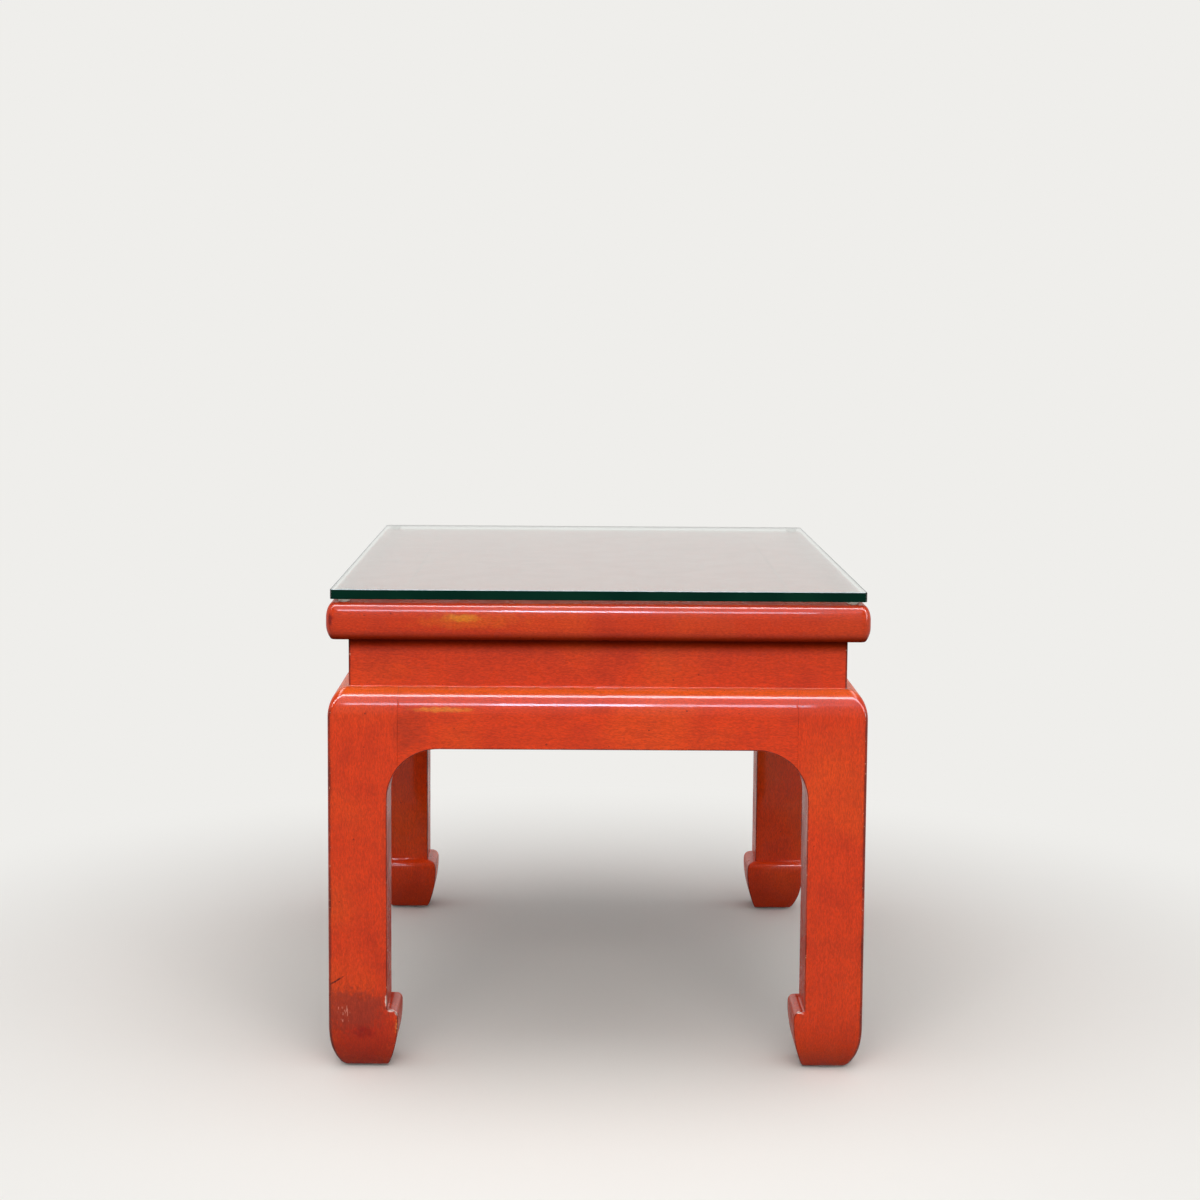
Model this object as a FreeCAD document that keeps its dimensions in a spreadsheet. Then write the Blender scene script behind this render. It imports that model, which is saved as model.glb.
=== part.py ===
# Waisted coffee table in lacquered wood, deeper than wide, with a loose sheet of glass on its top.
# Millimetres, +Z up, the front of the table towards -Y, origin on the floor below the centre.
import FreeCAD, Part
import Sketcher
import math
import os
import re

from FreeCAD import Placement, Rotation, Vector

# Driving dimensions: name in the sheet, millimetres, what it measures
DIMENSIONS = [
    ("glass_size", 541, "width of the glass sheet"),
    ("glass_thick", 10, "thickness of the glass"),
    ("glass_corner", 3, "plan radius of the glass corners"),
    ("glass_arris", 0.6, "bevel along the glass edges"),
    ("pad_radius", 7.25, "radius of a clear bumper"),
    ("pad_height", 3.5, "height of a clear bumper"),
    ("pad_round", 0.8, "rounding of a bumper's upper rim"),
    ("pad_inset", 13, "bumper centre in from the glass edges"),
    ("top_size", 550, "width of the top"),
    ("top_depth", 726, "depth of the top, from front to back"),
    ("top_thick", 37.5, "thickness of the top"),
    ("top_member", 78, "width of a top frame member"),
    ("top_round_upper", 10, "upper rounding of the top's edge"),
    ("top_round_lower", 8.5, "lower rounding of the top's edge"),
    ("top_corner", 7, "plan radius of the top's corners"),
    ("panel_thick", 16, "thickness of the floating panel"),
    ("panel_gap", 0.5, "gap between panel and frame on top"),
    ("tongue_drop", 6, "panel face down to its tongue"),
    ("tongue_thick", 8, "thickness of the panel's tongue"),
    ("tongue_reach", 8, "reach of the tongue into the frame"),
    ("groove_depth", 10, "depth of the frame's groove"),
    ("batten_spacing", 190, "distance between the two battens"),
    ("batten_width", 36, "width of a batten"),
    ("batten_depth", 20, "depth of a batten below the panel"),
    ("dovetail_rise", 4, "height of a batten's dovetail"),
    ("dovetail_foot", 28, "dovetail width at the panel's underside"),
    ("dovetail_head", 32, "dovetail width inside the panel"),
    ("batten_tenon_width", 24, "width of a batten's end tenon"),
    ("batten_tenon_thick", 10, "thickness of a batten's end tenon"),
    ("batten_tenon_reach", 10, "length of a batten's end tenon"),
    ("batten_tenon_rise", 4, "batten underside up to its tenon"),
    ("spline_length", 60, "length of a mitre spline"),
    ("spline_width", 28, "width of a mitre spline across the mitre"),
    ("spline_thick", 5, "thickness of a mitre spline"),
    ("spline_rise", 9, "top's underside up to the splines"),
    ("spline_inset", 55, "spline centre in from both sides of the top"),
    ("waist_size", 507, "width of the waist, outside"),
    ("waist_height", 50, "height of the waist"),
    ("waist_thick", 16, "thickness of a waist board"),
    ("waist_tongue_thick", 6, "thickness of the tongue under a waist board"),
    ("waist_tongue_drop", 5, "depth of the tongue under a waist board"),
    ("apron_size", 547, "width over legs and aprons, outside"),
    ("apron_height", 61, "apron from its arch to the ledge"),
    ("apron_thick", 38, "thickness of an apron"),
    ("apron_arris", 1.5, "rounding of the apron's lower outer edge"),
    ("shoulder_round", 19.5, "rounding of the shoulder above apron and leg"),
    ("arch_radius", 52, "radius of the arched ends of an apron"),
    ("tenon_thick", 12, "thickness of an apron tenon"),
    ("tenon_height", 36, "height of an apron tenon"),
    ("tenon_reach", 26, "length of an apron tenon"),
    ("tenon_inset", 20, "outer face to the middle of a tenon"),
    ("tenon_rise", 6, "arch up to the tenon"),
    ("leg_height", 392.5, "wooden leg from its foot to the ledge"),
    ("leg_blank", 71, "side of the square blank of a leg"),
    ("leg_shaft", 60, "side of the square shaft"),
    ("leg_corner", 5, "rounding of a leg's outer edge"),
    ("leg_seat", 12, "chamfer on the leg's inner edge, for the corner block"),
    ("hoof_rise", 40, "foot up to where the outer face is straight"),
    ("hoof_taper", 13.5, "how far the outer face comes in at the foot"),
    ("toe_rise", 50.5, "foot up to the toe's furthest point"),
    ("toe_taper", 10.5, "how far the toe comes back at the foot"),
    ("block_height", 44, "height of a corner block"),
    ("block_reach", 40, "glued length of a corner block on an apron"),
    ("block_rise", 8, "arch up to the corner block"),
    ("cleat_length", 300, "length of a cleat"),
    ("cleat_side", 20, "side of a cleat's square section"),
    ("glide_radius", 12, "radius of a foot glide"),
    ("glide_height", 3, "thickness of a foot glide"),
    ("glide_round", 0.9, "rounding of a glide's rim"),
    ("nail_radius", 1.5, "radius of a glide's nail"),
    ("nail_length", 21, "length of a glide's nail under its head"),
    ("nail_head_radius", 4.5, "radius of a nail's head"),
    ("nail_head_height", 1, "height of a nail's head"),
    ("nail_floor", 0.75, "plastic left below a nail's head"),
    ("corner_screw_radius", 3, "radius of a corner block's screw"),
    ("corner_screw_length", 56, "length of a corner block's screw"),
    ("corner_head_radius", 6, "radius of that screw's head"),
    ("corner_head_height", 4, "height of that screw's head"),
    ("cleat_screw_radius", 2, "radius of a cleat's screw"),
    ("cleat_head_radius", 4, "radius of that screw's head"),
    ("cleat_head_height", 2.6, "height of that screw's head"),
    ("top_screw_length", 36, "cleat screw that goes up into the top"),
    ("top_screw_spacing", 220, "distance between two of these"),
    ("waist_screw_length", 30, "cleat screw that goes into the waist"),
    ("waist_screw_spacing", 120, "distance between two of these"),
    ("screw_tip", 5, "length of a screw's point"),
    ("joint_play", 0.2, "play across a tenon, tongue or dovetail"),
    ("drill_play", 0.15, "play round a screw or nail"),
    ("cut_margin", 10, "how far a cutting outline stands clear of the wood"),
]

doc = FreeCAD.newDocument("coffee_table")
sheet = doc.addObject("Spreadsheet::Sheet", "Dims")
for row, (alias, value, meaning) in enumerate(DIMENSIONS, start=1):
    sheet.set(f"A{row}", meaning)
    sheet.set(f"B{row}", str(value))
    sheet.setAlias(f"B{row}", alias)
doc.recompute()

# Heights above the floor
FOOT = "glide_height"
LEDGE = f"({FOOT} + leg_height)"
ARCH = f"({LEDGE} - apron_height)"
SPRING = f"({ARCH} - arch_radius)"
TOP_UNDER = f"({LEDGE} + waist_height)"
TOP_FACE = f"({TOP_UNDER} + top_thick)"
PANEL_UNDER = f"({TOP_FACE} - panel_thick)"
BATTEN_UNDER = f"({PANEL_UNDER} - batten_depth)"
GLASS_UNDER = f"({TOP_FACE} + pad_height)"

# Distances from the centre, outwards
OUTER = "(apron_size / 2)"
LEG_INNER = f"({OUTER} - leg_blank)"
APRON_INNER = f"({OUTER} - apron_thick)"
WAIST_INNER = "(waist_size / 2 - waist_thick)"
TOP_INNER = "(top_size / 2 - top_member)"
FOOT_CENTRE = f"({OUTER} - (hoof_taper + leg_blank - toe_taper) / 2)"

# Each sub-part is drawn at the front of a square table and turned about +Z to its side or corner. The
# depth beyond the width then goes half into sliding front and back outwards, half into each end of the
# two long sides.
DEEPEN = "((top_depth - top_size) / 2)"
SIDES = ["front", "right", "back", "left"]
CORNERS = ["front_left", "front_right", "back_right", "back_left"]
PLANES = {"plan": "XY_Plane", "front": "XZ_Plane", "side": "YZ_Plane"}
UP = Vector(0, 0, 1)

subparts = []


def bound(text):
    """Sheet expression of a size written with the plain names of the dimensions."""
    return re.sub(r"[a-z]+(_[a-z]+)+", lambda found: "Dims." + found.group(0), text)


def size(text):
    """Millimetres that a size works out to now."""
    result = sheet.evalExpression(bound(text))
    return float(getattr(result, "Value", result))


def new_body(label):
    body = doc.addObject("PartDesign::Body", label)
    body.Label = label
    return body


def slide_of(name):
    """Way along Y from the square table to the real one, for a side or a corner."""
    if name.startswith("front"):
        return f"-{DEEPEN}"
    return DEEPEN if name.startswith("back") else "0"


def extra_of(side):
    """Length that a side has at each end beyond the square table."""
    return "0" if side in ("front", "back") else DEEPEN


def turn_to(body, quarter, slide):
    """Turn a sub-part to its side or corner of the table."""
    body.Placement = Placement(Vector(), Rotation(UP, 90 * quarter))
    body.setExpression("Placement.Base.y", bound(slide))


def finish(body, quarter=0, slide="0"):
    turn_to(body, quarter, slide)
    subparts.append(body)


def add_sketch(body, plane, offset="0"):
    """Sketch on one of the body's own planes, moved up, to the front or to the right."""
    sketch = body.newObject("Sketcher::SketchObject", "Sketch")
    support = next(item for item in body.Origin.OriginFeatures if item.Role == PLANES[plane])
    sketch.AttachmentSupport = [(support, "")]
    sketch.MapMode = "FlatFace"
    sketch.setExpression("AttachmentOffset.Base.z", bound(offset))
    return sketch


def arc_geometry(start, end, radius, clockwise):
    """Arc of less than half a turn, with the numbers of its first and last point."""
    chord = end - start
    across = Vector(-chord.y, chord.x, 0).normalize()
    rise = math.sqrt(max(radius ** 2 - chord.Length ** 2 / 4, 0))
    centre = (start + end) / 2 + across * (-rise if clockwise else rise)
    low, high = (end, start) if clockwise else (start, end)
    angles = [math.atan2(point.y - centre.y, point.x - centre.x) for point in (low, high)]
    if angles[1] < angles[0]:
        angles[1] += 2 * math.pi
    arc = Part.ArcOfCircle(Part.Circle(centre, UP, radius), angles[0], angles[1])
    return arc, (2 if clockwise else 1), (1 if clockwise else 2)


def draw_loop(sketch, corners):
    """Closed outline of (x, y) corners. (x, y, radius) starts an arc that turns to the left on its
    way to the next corner, and (x, y, radius, "right") one that turns to the right."""
    points = [Vector(size(corner[0]), size(corner[1]), 0) for corner in corners]
    stretches = []
    for number, corner in enumerate(corners):
        ends = points[number], points[(number + 1) % len(points)]
        if len(corner) == 2:
            shape, first, last = Part.LineSegment(*ends), 1, 2
        else:
            shape, first, last = arc_geometry(*ends, size(corner[2]), len(corner) == 4)
        stretches.append((sketch.addGeometry(shape, False), first, last))
    for number, corner in enumerate(corners):
        index, first, last = stretches[number]
        following, joined, _ = stretches[(number + 1) % len(corners)]
        sketch.addConstraint(Sketcher.Constraint("Coincident", index, last, following, joined))
        rules = [("DistanceX", (-1, 1, index, first), corner[0]),
                 ("DistanceY", (-1, 1, index, first), corner[1])]
        if len(corner) > 2:
            rules.append(("Radius", (index,), corner[2]))
        for kind, where, text in rules:
            rule = sketch.addConstraint(Sketcher.Constraint(kind, *where, size(text)))
            sketch.setExpression(f"Constraints[{rule}]", bound(text))


def rectangle(left, right, low, high):
    return [(left, low), (right, low), (right, high), (left, high)]


def oblong(half):
    """Plan with this half width and the depth that goes with it."""
    deep = f"({half} + {DEEPEN})"
    return rectangle(f"-({half})", half, f"-{deep}", deep)


def extrude(body, kind, sketch, length, side="One side", reverse=False):
    feature = body.newObject("PartDesign::" + kind, kind)
    feature.Profile = sketch
    feature.SideType = side
    feature.Reversed = reverse
    feature.setExpression("Length", bound(length))
    doc.recompute()


def pad(body, sketch, length, side="One side", reverse=False):
    extrude(body, "Pad", sketch, length, side, reverse)


def pocket(body, sketch, length, side="One side", reverse=False):
    before = body.Shape.Volume
    extrude(body, "Pocket", sketch, length, side, reverse)
    if body.Shape.Volume > before - 1e-3:
        raise RuntimeError(f"a pocket in {body.Label} removes nothing")


def drill(body, start, direction, radius, depth):
    """Round hole from a point into the wood."""
    before = body.Shape.Volume
    hole = body.newObject("PartDesign::SubtractiveCylinder", "Drill")
    support = next(item for item in body.Origin.OriginFeatures if item.Role == PLANES["plan"])
    hole.AttachmentSupport = [(support, "")]
    hole.MapMode = "FlatFace"
    hole.AttachmentOffset = Placement(Vector(), Rotation(UP, direction))
    for axis, text in zip("xyz", start):
        hole.setExpression(f"AttachmentOffset.Base.{axis}", bound(text))
    hole.setExpression("Radius", bound(f"{radius} + drill_play"))
    hole.setExpression("Height", bound(depth))
    doc.recompute()
    if body.Shape.Volume > before - 1e-3:
        raise RuntimeError(f"a hole in {body.Label} removes nothing")


def fillet(body, chosen, radius):
    """Round the edges of the body that the test picks."""
    base = body.Tip
    names = [f"Edge{number}" for number, edge in enumerate(base.Shape.Edges, start=1) if chosen(edge)]
    feature = body.newObject("PartDesign::Fillet", "Fillet")
    feature.Base = (base, names)
    feature.setExpression("Radius", bound(radius))
    doc.recompute()


def revolve(body, corners):
    """Turned solid of a half profile drawn as (radius, height)."""
    sketch = add_sketch(body, "front")
    draw_loop(sketch, corners)
    feature = body.newObject("PartDesign::Revolution", "Revolution")
    feature.Profile = sketch
    feature.ReferenceAxis = (sketch, ["V_Axis"])
    feature.Angle = 360
    doc.recompute()


def leg_outline(outer):
    """Leg seen from one side: hoof foot, shaft, spring of the arch, block and shoulder."""
    def across(inwards):
        return f"-({outer}) + {inwards}"

    hoof_radius = "(hoof_rise ^ 2 + hoof_taper ^ 2) / (2 * hoof_taper)"
    toe_radius = "(toe_rise ^ 2 + toe_taper ^ 2) / (2 * toe_taper)"
    step = "(leg_blank - leg_shaft)"
    block_low = f"{SPRING} + sqrt(arch_radius ^ 2 - (arch_radius - {step}) ^ 2)"
    return [
        (across("hoof_taper"), FOOT),
        (across("leg_blank - toe_taper"), FOOT, toe_radius),
        (across("leg_blank"), f"{FOOT} + toe_rise", step),
        (across("leg_shaft"), f"{FOOT} + toe_rise + {step}"),
        (across("leg_shaft"), SPRING, "arch_radius", "right"),
        (across("leg_blank"), block_low),
        (across("leg_blank"), LEDGE),
        (across("shoulder_round"), LEDGE, "shoulder_round"),
        (across("0"), f"{LEDGE} - shoulder_round"),
        (across("0"), f"{FOOT} + hoof_rise", hoof_radius),
    ]


def make_leg(corner, quarter):
    leg = new_body("leg_" + corner)
    # the blank is sawn to the same outline from the front and from the side
    front = add_sketch(leg, "front", OUTER)
    draw_loop(front, leg_outline(OUTER))
    pad(leg, front, "leg_blank", reverse=True)
    side = add_sketch(leg, "side")
    draw_loop(side, rectangle(f"-{OUTER} - cut_margin", f"-{LEG_INNER} + cut_margin",
                              f"{FOOT} - cut_margin", f"{LEDGE} + cut_margin"))
    draw_loop(side, leg_outline(OUTER))
    pocket(leg, side, "3 * apron_size", side="Symmetric")
    # rounded outer edge
    edge = add_sketch(leg, "plan", f"{LEDGE} + cut_margin")
    draw_loop(edge, [
        (f"-{OUTER} - cut_margin", f"-{OUTER} - cut_margin"),
        (f"-{OUTER} + leg_corner", f"-{OUTER} - cut_margin"),
        (f"-{OUTER} + leg_corner", f"-{OUTER}", "leg_corner", "right"),
        (f"-{OUTER}", f"-{OUTER} + leg_corner"),
        (f"-{OUTER} - cut_margin", f"-{OUTER} + leg_corner"),
    ])
    pocket(leg, edge, "leg_height + 2 * cut_margin")
    # flat for the corner block on the inner edge
    seat = add_sketch(leg, "plan", LEDGE)
    draw_loop(seat, [
        (f"-{LEG_INNER}", f"-{LEG_INNER} - leg_seat"),
        (f"-{LEG_INNER} + cut_margin", f"-{LEG_INNER} - leg_seat"),
        (f"-{LEG_INNER} + cut_margin", f"-{LEG_INNER} + cut_margin"),
        (f"-{LEG_INNER} - leg_seat", f"-{LEG_INNER} + cut_margin"),
        (f"-{LEG_INNER} - leg_seat", f"-{LEG_INNER}"),
    ])
    pocket(leg, seat, "apron_height")
    # post inside the corner of the waist
    post = add_sketch(leg, "plan", LEDGE)
    draw_loop(post, rectangle(f"-{WAIST_INNER}", f"-{LEG_INNER}", f"-{WAIST_INNER}", f"-{LEG_INNER}"))
    pad(leg, post, "waist_height")
    # mortises for the two apron tenons
    hollow = rectangle(f"-{OUTER} + tenon_inset - tenon_thick / 2 - joint_play / 2",
                       f"-{OUTER} + tenon_inset + tenon_thick / 2 + joint_play / 2",
                       f"{ARCH} + tenon_rise", f"{ARCH} + tenon_rise + tenon_height + joint_play")
    to_side = add_sketch(leg, "side", f"-{LEG_INNER}")
    draw_loop(to_side, hollow)
    pocket(leg, to_side, "tenon_reach + joint_play")
    to_back = add_sketch(leg, "front", LEG_INNER)
    draw_loop(to_back, hollow)
    pocket(leg, to_back, "tenon_reach + joint_play", reverse=True)
    # screw of the corner block and nail of the glide
    seat_middle = f"-{LEG_INNER} - leg_seat / 2"
    drill(leg, (seat_middle, seat_middle, f"{ARCH} + block_rise + block_height / 2"), Vector(-1, -1, 0),
          "corner_screw_radius", "corner_screw_length - block_reach / sqrt(2) + drill_play")
    drill(leg, (f"-{FOOT_CENTRE}", f"-{FOOT_CENTRE}", FOOT), UP, "nail_radius", "nail_length")
    finish(leg, quarter, slide_of(corner))


def make_apron(side, quarter):
    apron = new_body("apron_" + side)
    end = f"({LEG_INNER} + {extra_of(side)})"
    length = f"2 * {end}"
    section = add_sketch(apron, "side")
    draw_loop(section, [
        (f"-{OUTER}", SPRING),
        (f"-{APRON_INNER}", SPRING),
        (f"-{APRON_INNER}", LEDGE),
        (f"-{OUTER} + shoulder_round", LEDGE, "shoulder_round"),
        (f"-{OUTER}", f"{LEDGE} - shoulder_round"),
    ])
    pad(apron, section, length, side="Symmetric")
    # arched ends, sawn in line with the arches on the legs
    flat = f"({OUTER} + {extra_of(side)} - leg_shaft - arch_radius)"
    rise = f"{SPRING} + sqrt(arch_radius ^ 2 - ({end} - {flat}) ^ 2)"
    arch = add_sketch(apron, "front")
    draw_loop(arch, [
        (f"-{end}", f"{SPRING} - cut_margin"),
        (end, f"{SPRING} - cut_margin"),
        (end, rise, "arch_radius"),
        (flat, ARCH),
        (f"-{flat}", ARCH, "arch_radius"),
        (f"-{end}", rise),
    ])
    pocket(apron, arch, "3 * apron_size", side="Symmetric")
    front_line = -size(OUTER)
    arch_top = size(ARCH)
    fillet(apron, lambda edge: edge.BoundBox.YMax < front_line + 0.1 and edge.BoundBox.ZMax < arch_top + 0.1
           and edge.BoundBox.XLength > 1, "apron_arris")
    # tenons, one bar right through
    tenon = add_sketch(apron, "side")
    draw_loop(tenon, rectangle(f"-{OUTER} + tenon_inset - tenon_thick / 2",
                               f"-{OUTER} + tenon_inset + tenon_thick / 2",
                               f"{ARCH} + tenon_rise", f"{ARCH} + tenon_rise + tenon_height"))
    pad(apron, tenon, f"{length} + 2 * tenon_reach", side="Symmetric")
    # groove for the waist's tongue
    groove = add_sketch(apron, "side")
    middle = f"-{WAIST_INNER} - waist_thick / 2"
    draw_loop(groove, rectangle(f"{middle} - waist_tongue_thick / 2 - joint_play / 2",
                                f"{middle} + waist_tongue_thick / 2 + joint_play / 2",
                                f"{LEDGE} - waist_tongue_drop - joint_play", f"{LEDGE} + cut_margin"))
    pocket(apron, groove, length, side="Symmetric")
    finish(apron, quarter, slide_of(side))


def make_waist(side, quarter):
    waist = new_body("waist_" + side)
    plan = add_sketch(waist, "plan", LEDGE)
    outside = "(waist_size / 2)"
    outer_end = f"({outside} + {extra_of(side)})"
    inner_end = f"({WAIST_INNER} + {extra_of(side)})"
    draw_loop(plan, [
        (f"-{outer_end}", f"-{outside}"),
        (outer_end, f"-{outside}"),
        (inner_end, f"-{WAIST_INNER}"),
        (f"-{inner_end}", f"-{WAIST_INNER}"),
    ])
    pad(waist, plan, "waist_height")
    middle = f"-{WAIST_INNER} - waist_thick / 2"
    tongue = add_sketch(waist, "side")
    draw_loop(tongue, rectangle(f"{middle} - waist_tongue_thick / 2", f"{middle} + waist_tongue_thick / 2",
                                f"{LEDGE} - waist_tongue_drop", f"{LEDGE} + waist_tongue_drop"))
    pad(waist, tongue, f"2 * ({LEG_INNER} + {extra_of(side)})", side="Symmetric")
    for place in (f"-{WAIST_SCREW_X}", WAIST_SCREW_X):
        drill(waist, (place, f"-{WAIST_INNER}", CLEAT_MIDDLE), Vector(0, -1, 0), "cleat_screw_radius",
              "waist_screw_length - cleat_side + drill_play")
    finish(waist, quarter, slide_of(side))


def mitre_waste(sign, extra):
    """Plan of the wood beyond the mitre at one end of a top frame member, with its rounded tip."""
    half = "top_size / 2"
    tip = f"{half} - top_corner * (1 - sqrt(0.5))"
    beyond = f"{half} + cut_margin"
    inside = f"{TOP_INNER} - cut_margin"
    turn = ("top_corner",) if sign > 0 else ("top_corner", "right")

    def at(across, inwards):
        return (f"{across} + {extra}" if sign > 0 else f"-({across} + {extra})"), f"-({inwards})"

    return [at(f"{half} - top_corner", half) + turn, at(tip, tip), at(inside, inside), at(beyond, inside),
            at(beyond, beyond), at(f"{half} - top_corner", beyond)]


def make_top_member(side, quarter):
    member = new_body("top_frame_" + side)
    half = "top_size / 2"
    extra = extra_of(side)
    length = f"top_size + 2 * {extra}"
    section = add_sketch(member, "side")
    draw_loop(section, [
        (f"-{half} + top_round_lower", TOP_UNDER),
        (f"-{TOP_INNER}", TOP_UNDER),
        (f"-{TOP_INNER}", TOP_FACE),
        (f"-{half} + top_round_upper", TOP_FACE, "top_round_upper"),
        (f"-{half}", f"{TOP_FACE} - top_round_upper"),
        (f"-{half}", f"{TOP_UNDER} + top_round_lower", "top_round_lower"),
    ])
    pad(member, section, length, side="Symmetric")
    for sign in (1, -1):
        waste = add_sketch(member, "plan", f"{TOP_FACE} + cut_margin")
        draw_loop(waste, mitre_waste(sign, extra))
        pocket(member, waste, "top_thick + 2 * cut_margin")
    # groove for the panel
    groove = add_sketch(member, "side")
    tongue_top = f"{TOP_FACE} - tongue_drop"
    draw_loop(groove, rectangle(f"-{TOP_INNER} - groove_depth", f"-{TOP_INNER} + cut_margin",
                                f"{tongue_top} - tongue_thick", f"{tongue_top} + joint_play"))
    pocket(member, groove, length, side="Symmetric")
    # slots for the splines in both mitres
    for sign in (1, -1):
        slot = add_sketch(member, "plan", f"{TOP_UNDER} + spline_rise")
        draw_loop(slot, spline_outline(sign, "joint_play", extra))
        pocket(member, slot, "spline_thick + joint_play", reverse=True)
    if side in ("front", "back"):
        for sign in ("", "-"):
            middle = f"{sign}batten_spacing / 2"
            low = f"{BATTEN_UNDER} + batten_tenon_rise"
            mortise = add_sketch(member, "front", TOP_INNER)
            draw_loop(mortise, rectangle(f"{middle} - batten_tenon_width / 2 - joint_play",
                                         f"{middle} + batten_tenon_width / 2 + joint_play",
                                         low, f"{low} + batten_tenon_thick + joint_play"))
            pocket(member, mortise, "batten_tenon_reach + joint_play", reverse=True)
    for place in (f"-{TOP_SCREW_X}", TOP_SCREW_X):
        drill(member, (place, f"-{CLEAT_CENTRE}", TOP_UNDER), UP, "cleat_screw_radius",
              "top_screw_length - cleat_side + drill_play")
    finish(member, quarter, slide_of(side))


def spline_outline(sign, play="0", extra="0"):
    """Plan of a mitre spline, a rectangle turned to lie along the mitre."""
    middle = "(top_size / 2 - spline_inset)"
    along = f"((spline_length / 2 + {play}) * sqrt(0.5))"
    across = f"((spline_width / 2 + {play}) * sqrt(0.5))"
    corners = [(f"{middle} + {along} + {across}", f"{middle} + {along} - {across}"),
               (f"{middle} + {along} - {across}", f"{middle} + {along} + {across}"),
               (f"{middle} - {along} - {across}", f"{middle} - {along} + {across}"),
               (f"{middle} - {along} + {across}", f"{middle} - {along} - {across}")]
    return [(f"{x} + {extra}" if sign > 0 else f"-({x} + {extra})", f"-({y})") for x, y in corners]


def make_mitre_splines():
    splines = []
    for quarter, corner in enumerate(CORNERS):
        spline = new_body("spline_" + corner)
        plan = add_sketch(spline, "plan", f"{TOP_UNDER} + spline_rise")
        draw_loop(plan, spline_outline(-1))
        pad(spline, plan, "spline_thick")
        turn_to(spline, quarter, slide_of(corner))
        splines.append(spline)
    group("mitre_splines", splines)


def make_top_panel():
    panel = new_body("top_panel")
    board = add_sketch(panel, "plan", PANEL_UNDER)
    draw_loop(board, oblong(f"{TOP_INNER} - panel_gap"))
    pad(panel, board, "panel_thick")
    tongue = add_sketch(panel, "plan", f"{TOP_FACE} - tongue_drop")
    draw_loop(tongue, oblong(f"{TOP_INNER} + tongue_reach"))
    pad(panel, tongue, "tongue_thick", reverse=True)
    for sign in ("", "-"):
        housing = add_sketch(panel, "front")
        draw_loop(housing, dovetail(f"{sign}batten_spacing / 2", "joint_play / 2"))
        pocket(panel, housing, "2 * top_depth", side="Symmetric")
    finish(panel)


def dovetail(middle, play="0"):
    """Dovetail on a batten's back, in the panel's underside."""
    foot = f"(dovetail_foot / 2 + {play})"
    head = f"(dovetail_head / 2 + {play})"
    top = f"{PANEL_UNDER} + dovetail_rise + {play}"
    return [(f"{middle} - {foot}", PANEL_UNDER), (f"{middle} + {foot}", PANEL_UNDER),
            (f"{middle} + {head}", top), (f"{middle} - {head}", top)]


def make_batten(name, sign):
    batten = new_body(name)
    middle = f"{sign}batten_spacing / 2"
    between = f"2 * ({TOP_INNER} + {DEEPEN})"
    bar = add_sketch(batten, "front")
    draw_loop(bar, rectangle(f"{middle} - batten_width / 2", f"{middle} + batten_width / 2",
                             BATTEN_UNDER, PANEL_UNDER))
    pad(batten, bar, between, side="Symmetric")
    key = add_sketch(batten, "front")
    draw_loop(key, dovetail(middle))
    pad(batten, key, f"{between} - 2 * panel_gap", side="Symmetric")
    tenon = add_sketch(batten, "front")
    low = f"{BATTEN_UNDER} + batten_tenon_rise"
    draw_loop(tenon, rectangle(f"{middle} - batten_tenon_width / 2", f"{middle} + batten_tenon_width / 2",
                               low, f"{low} + batten_tenon_thick"))
    pad(batten, tenon, f"{between} + 2 * batten_tenon_reach", side="Symmetric")
    finish(batten)


def make_corner_block(corner, quarter):
    block = new_body("corner_block_" + corner)
    near = f"({APRON_INNER} - (2 * leg_blank - leg_seat - 2 * apron_thick))"
    far = f"({near} - block_reach)"
    plan = add_sketch(block, "plan", f"{ARCH} + block_rise")
    draw_loop(plan, [(f"-{near}", f"-{APRON_INNER}"), (f"-{far}", f"-{APRON_INNER}"),
                     (f"-{APRON_INNER}", f"-{far}"), (f"-{APRON_INNER}", f"-{near}")])
    pad(block, plan, "block_height")
    drill(block, BLOCK_FACE, Vector(-1, -1, 0), "corner_screw_radius", "block_reach")
    finish(block, quarter, slide_of(corner))


def make_cleat(side, quarter):
    cleat = new_body("cleat_" + side)
    bar = add_sketch(cleat, "side")
    draw_loop(bar, rectangle(f"-{WAIST_INNER}", f"-{WAIST_INNER} + cleat_side",
                             f"{TOP_UNDER} - cleat_side", TOP_UNDER))
    pad(cleat, bar, "cleat_length", side="Symmetric")
    for sign in ("", "-"):
        drill(cleat, (f"{sign}{TOP_SCREW_X}", f"-{CLEAT_CENTRE}", f"{TOP_UNDER} - cleat_side"), UP,
              "cleat_screw_radius", "cleat_side")
        drill(cleat, (f"{sign}{WAIST_SCREW_X}", f"-{WAIST_INNER} + cleat_side", CLEAT_MIDDLE),
              Vector(0, -1, 0), "cleat_screw_radius", "cleat_side")
    finish(cleat, quarter, slide_of(side))


def make_screw(name, radius, length, head_radius, head_height):
    """Pan-head wood screw along +Z, with its head below the level 0."""
    screw = new_body(name)
    rim = f"({head_height} / 2)"
    revolve(screw, [
        ("0", f"-{head_height}"),
        (f"{head_radius} - {rim}", f"-{head_height}", rim),
        (head_radius, f"-{rim}"),
        (head_radius, "0"),
        (radius, "0"),
        (radius, f"{length} - screw_tip"),
        ("0", length),
    ])
    return screw


def set_fastener(fastener, place, direction, quarter, slide):
    """Stand a fastener at a point of the front side, turned to another side."""
    x, y, z = place
    turned = [(x, y), (f"-({y})", x), (f"-({x})", f"-({y})"), (y, f"-({x})")][quarter]
    pointing = Rotation(UP, 90 * quarter).multVec(direction)
    fastener.Placement = Placement(Vector(), Rotation(UP, pointing))
    for axis, text in zip("xyz", (turned[0], f"{turned[1]} + {slide}", z)):
        fastener.setExpression(f"Placement.Base.{axis}", bound(text))


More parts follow.
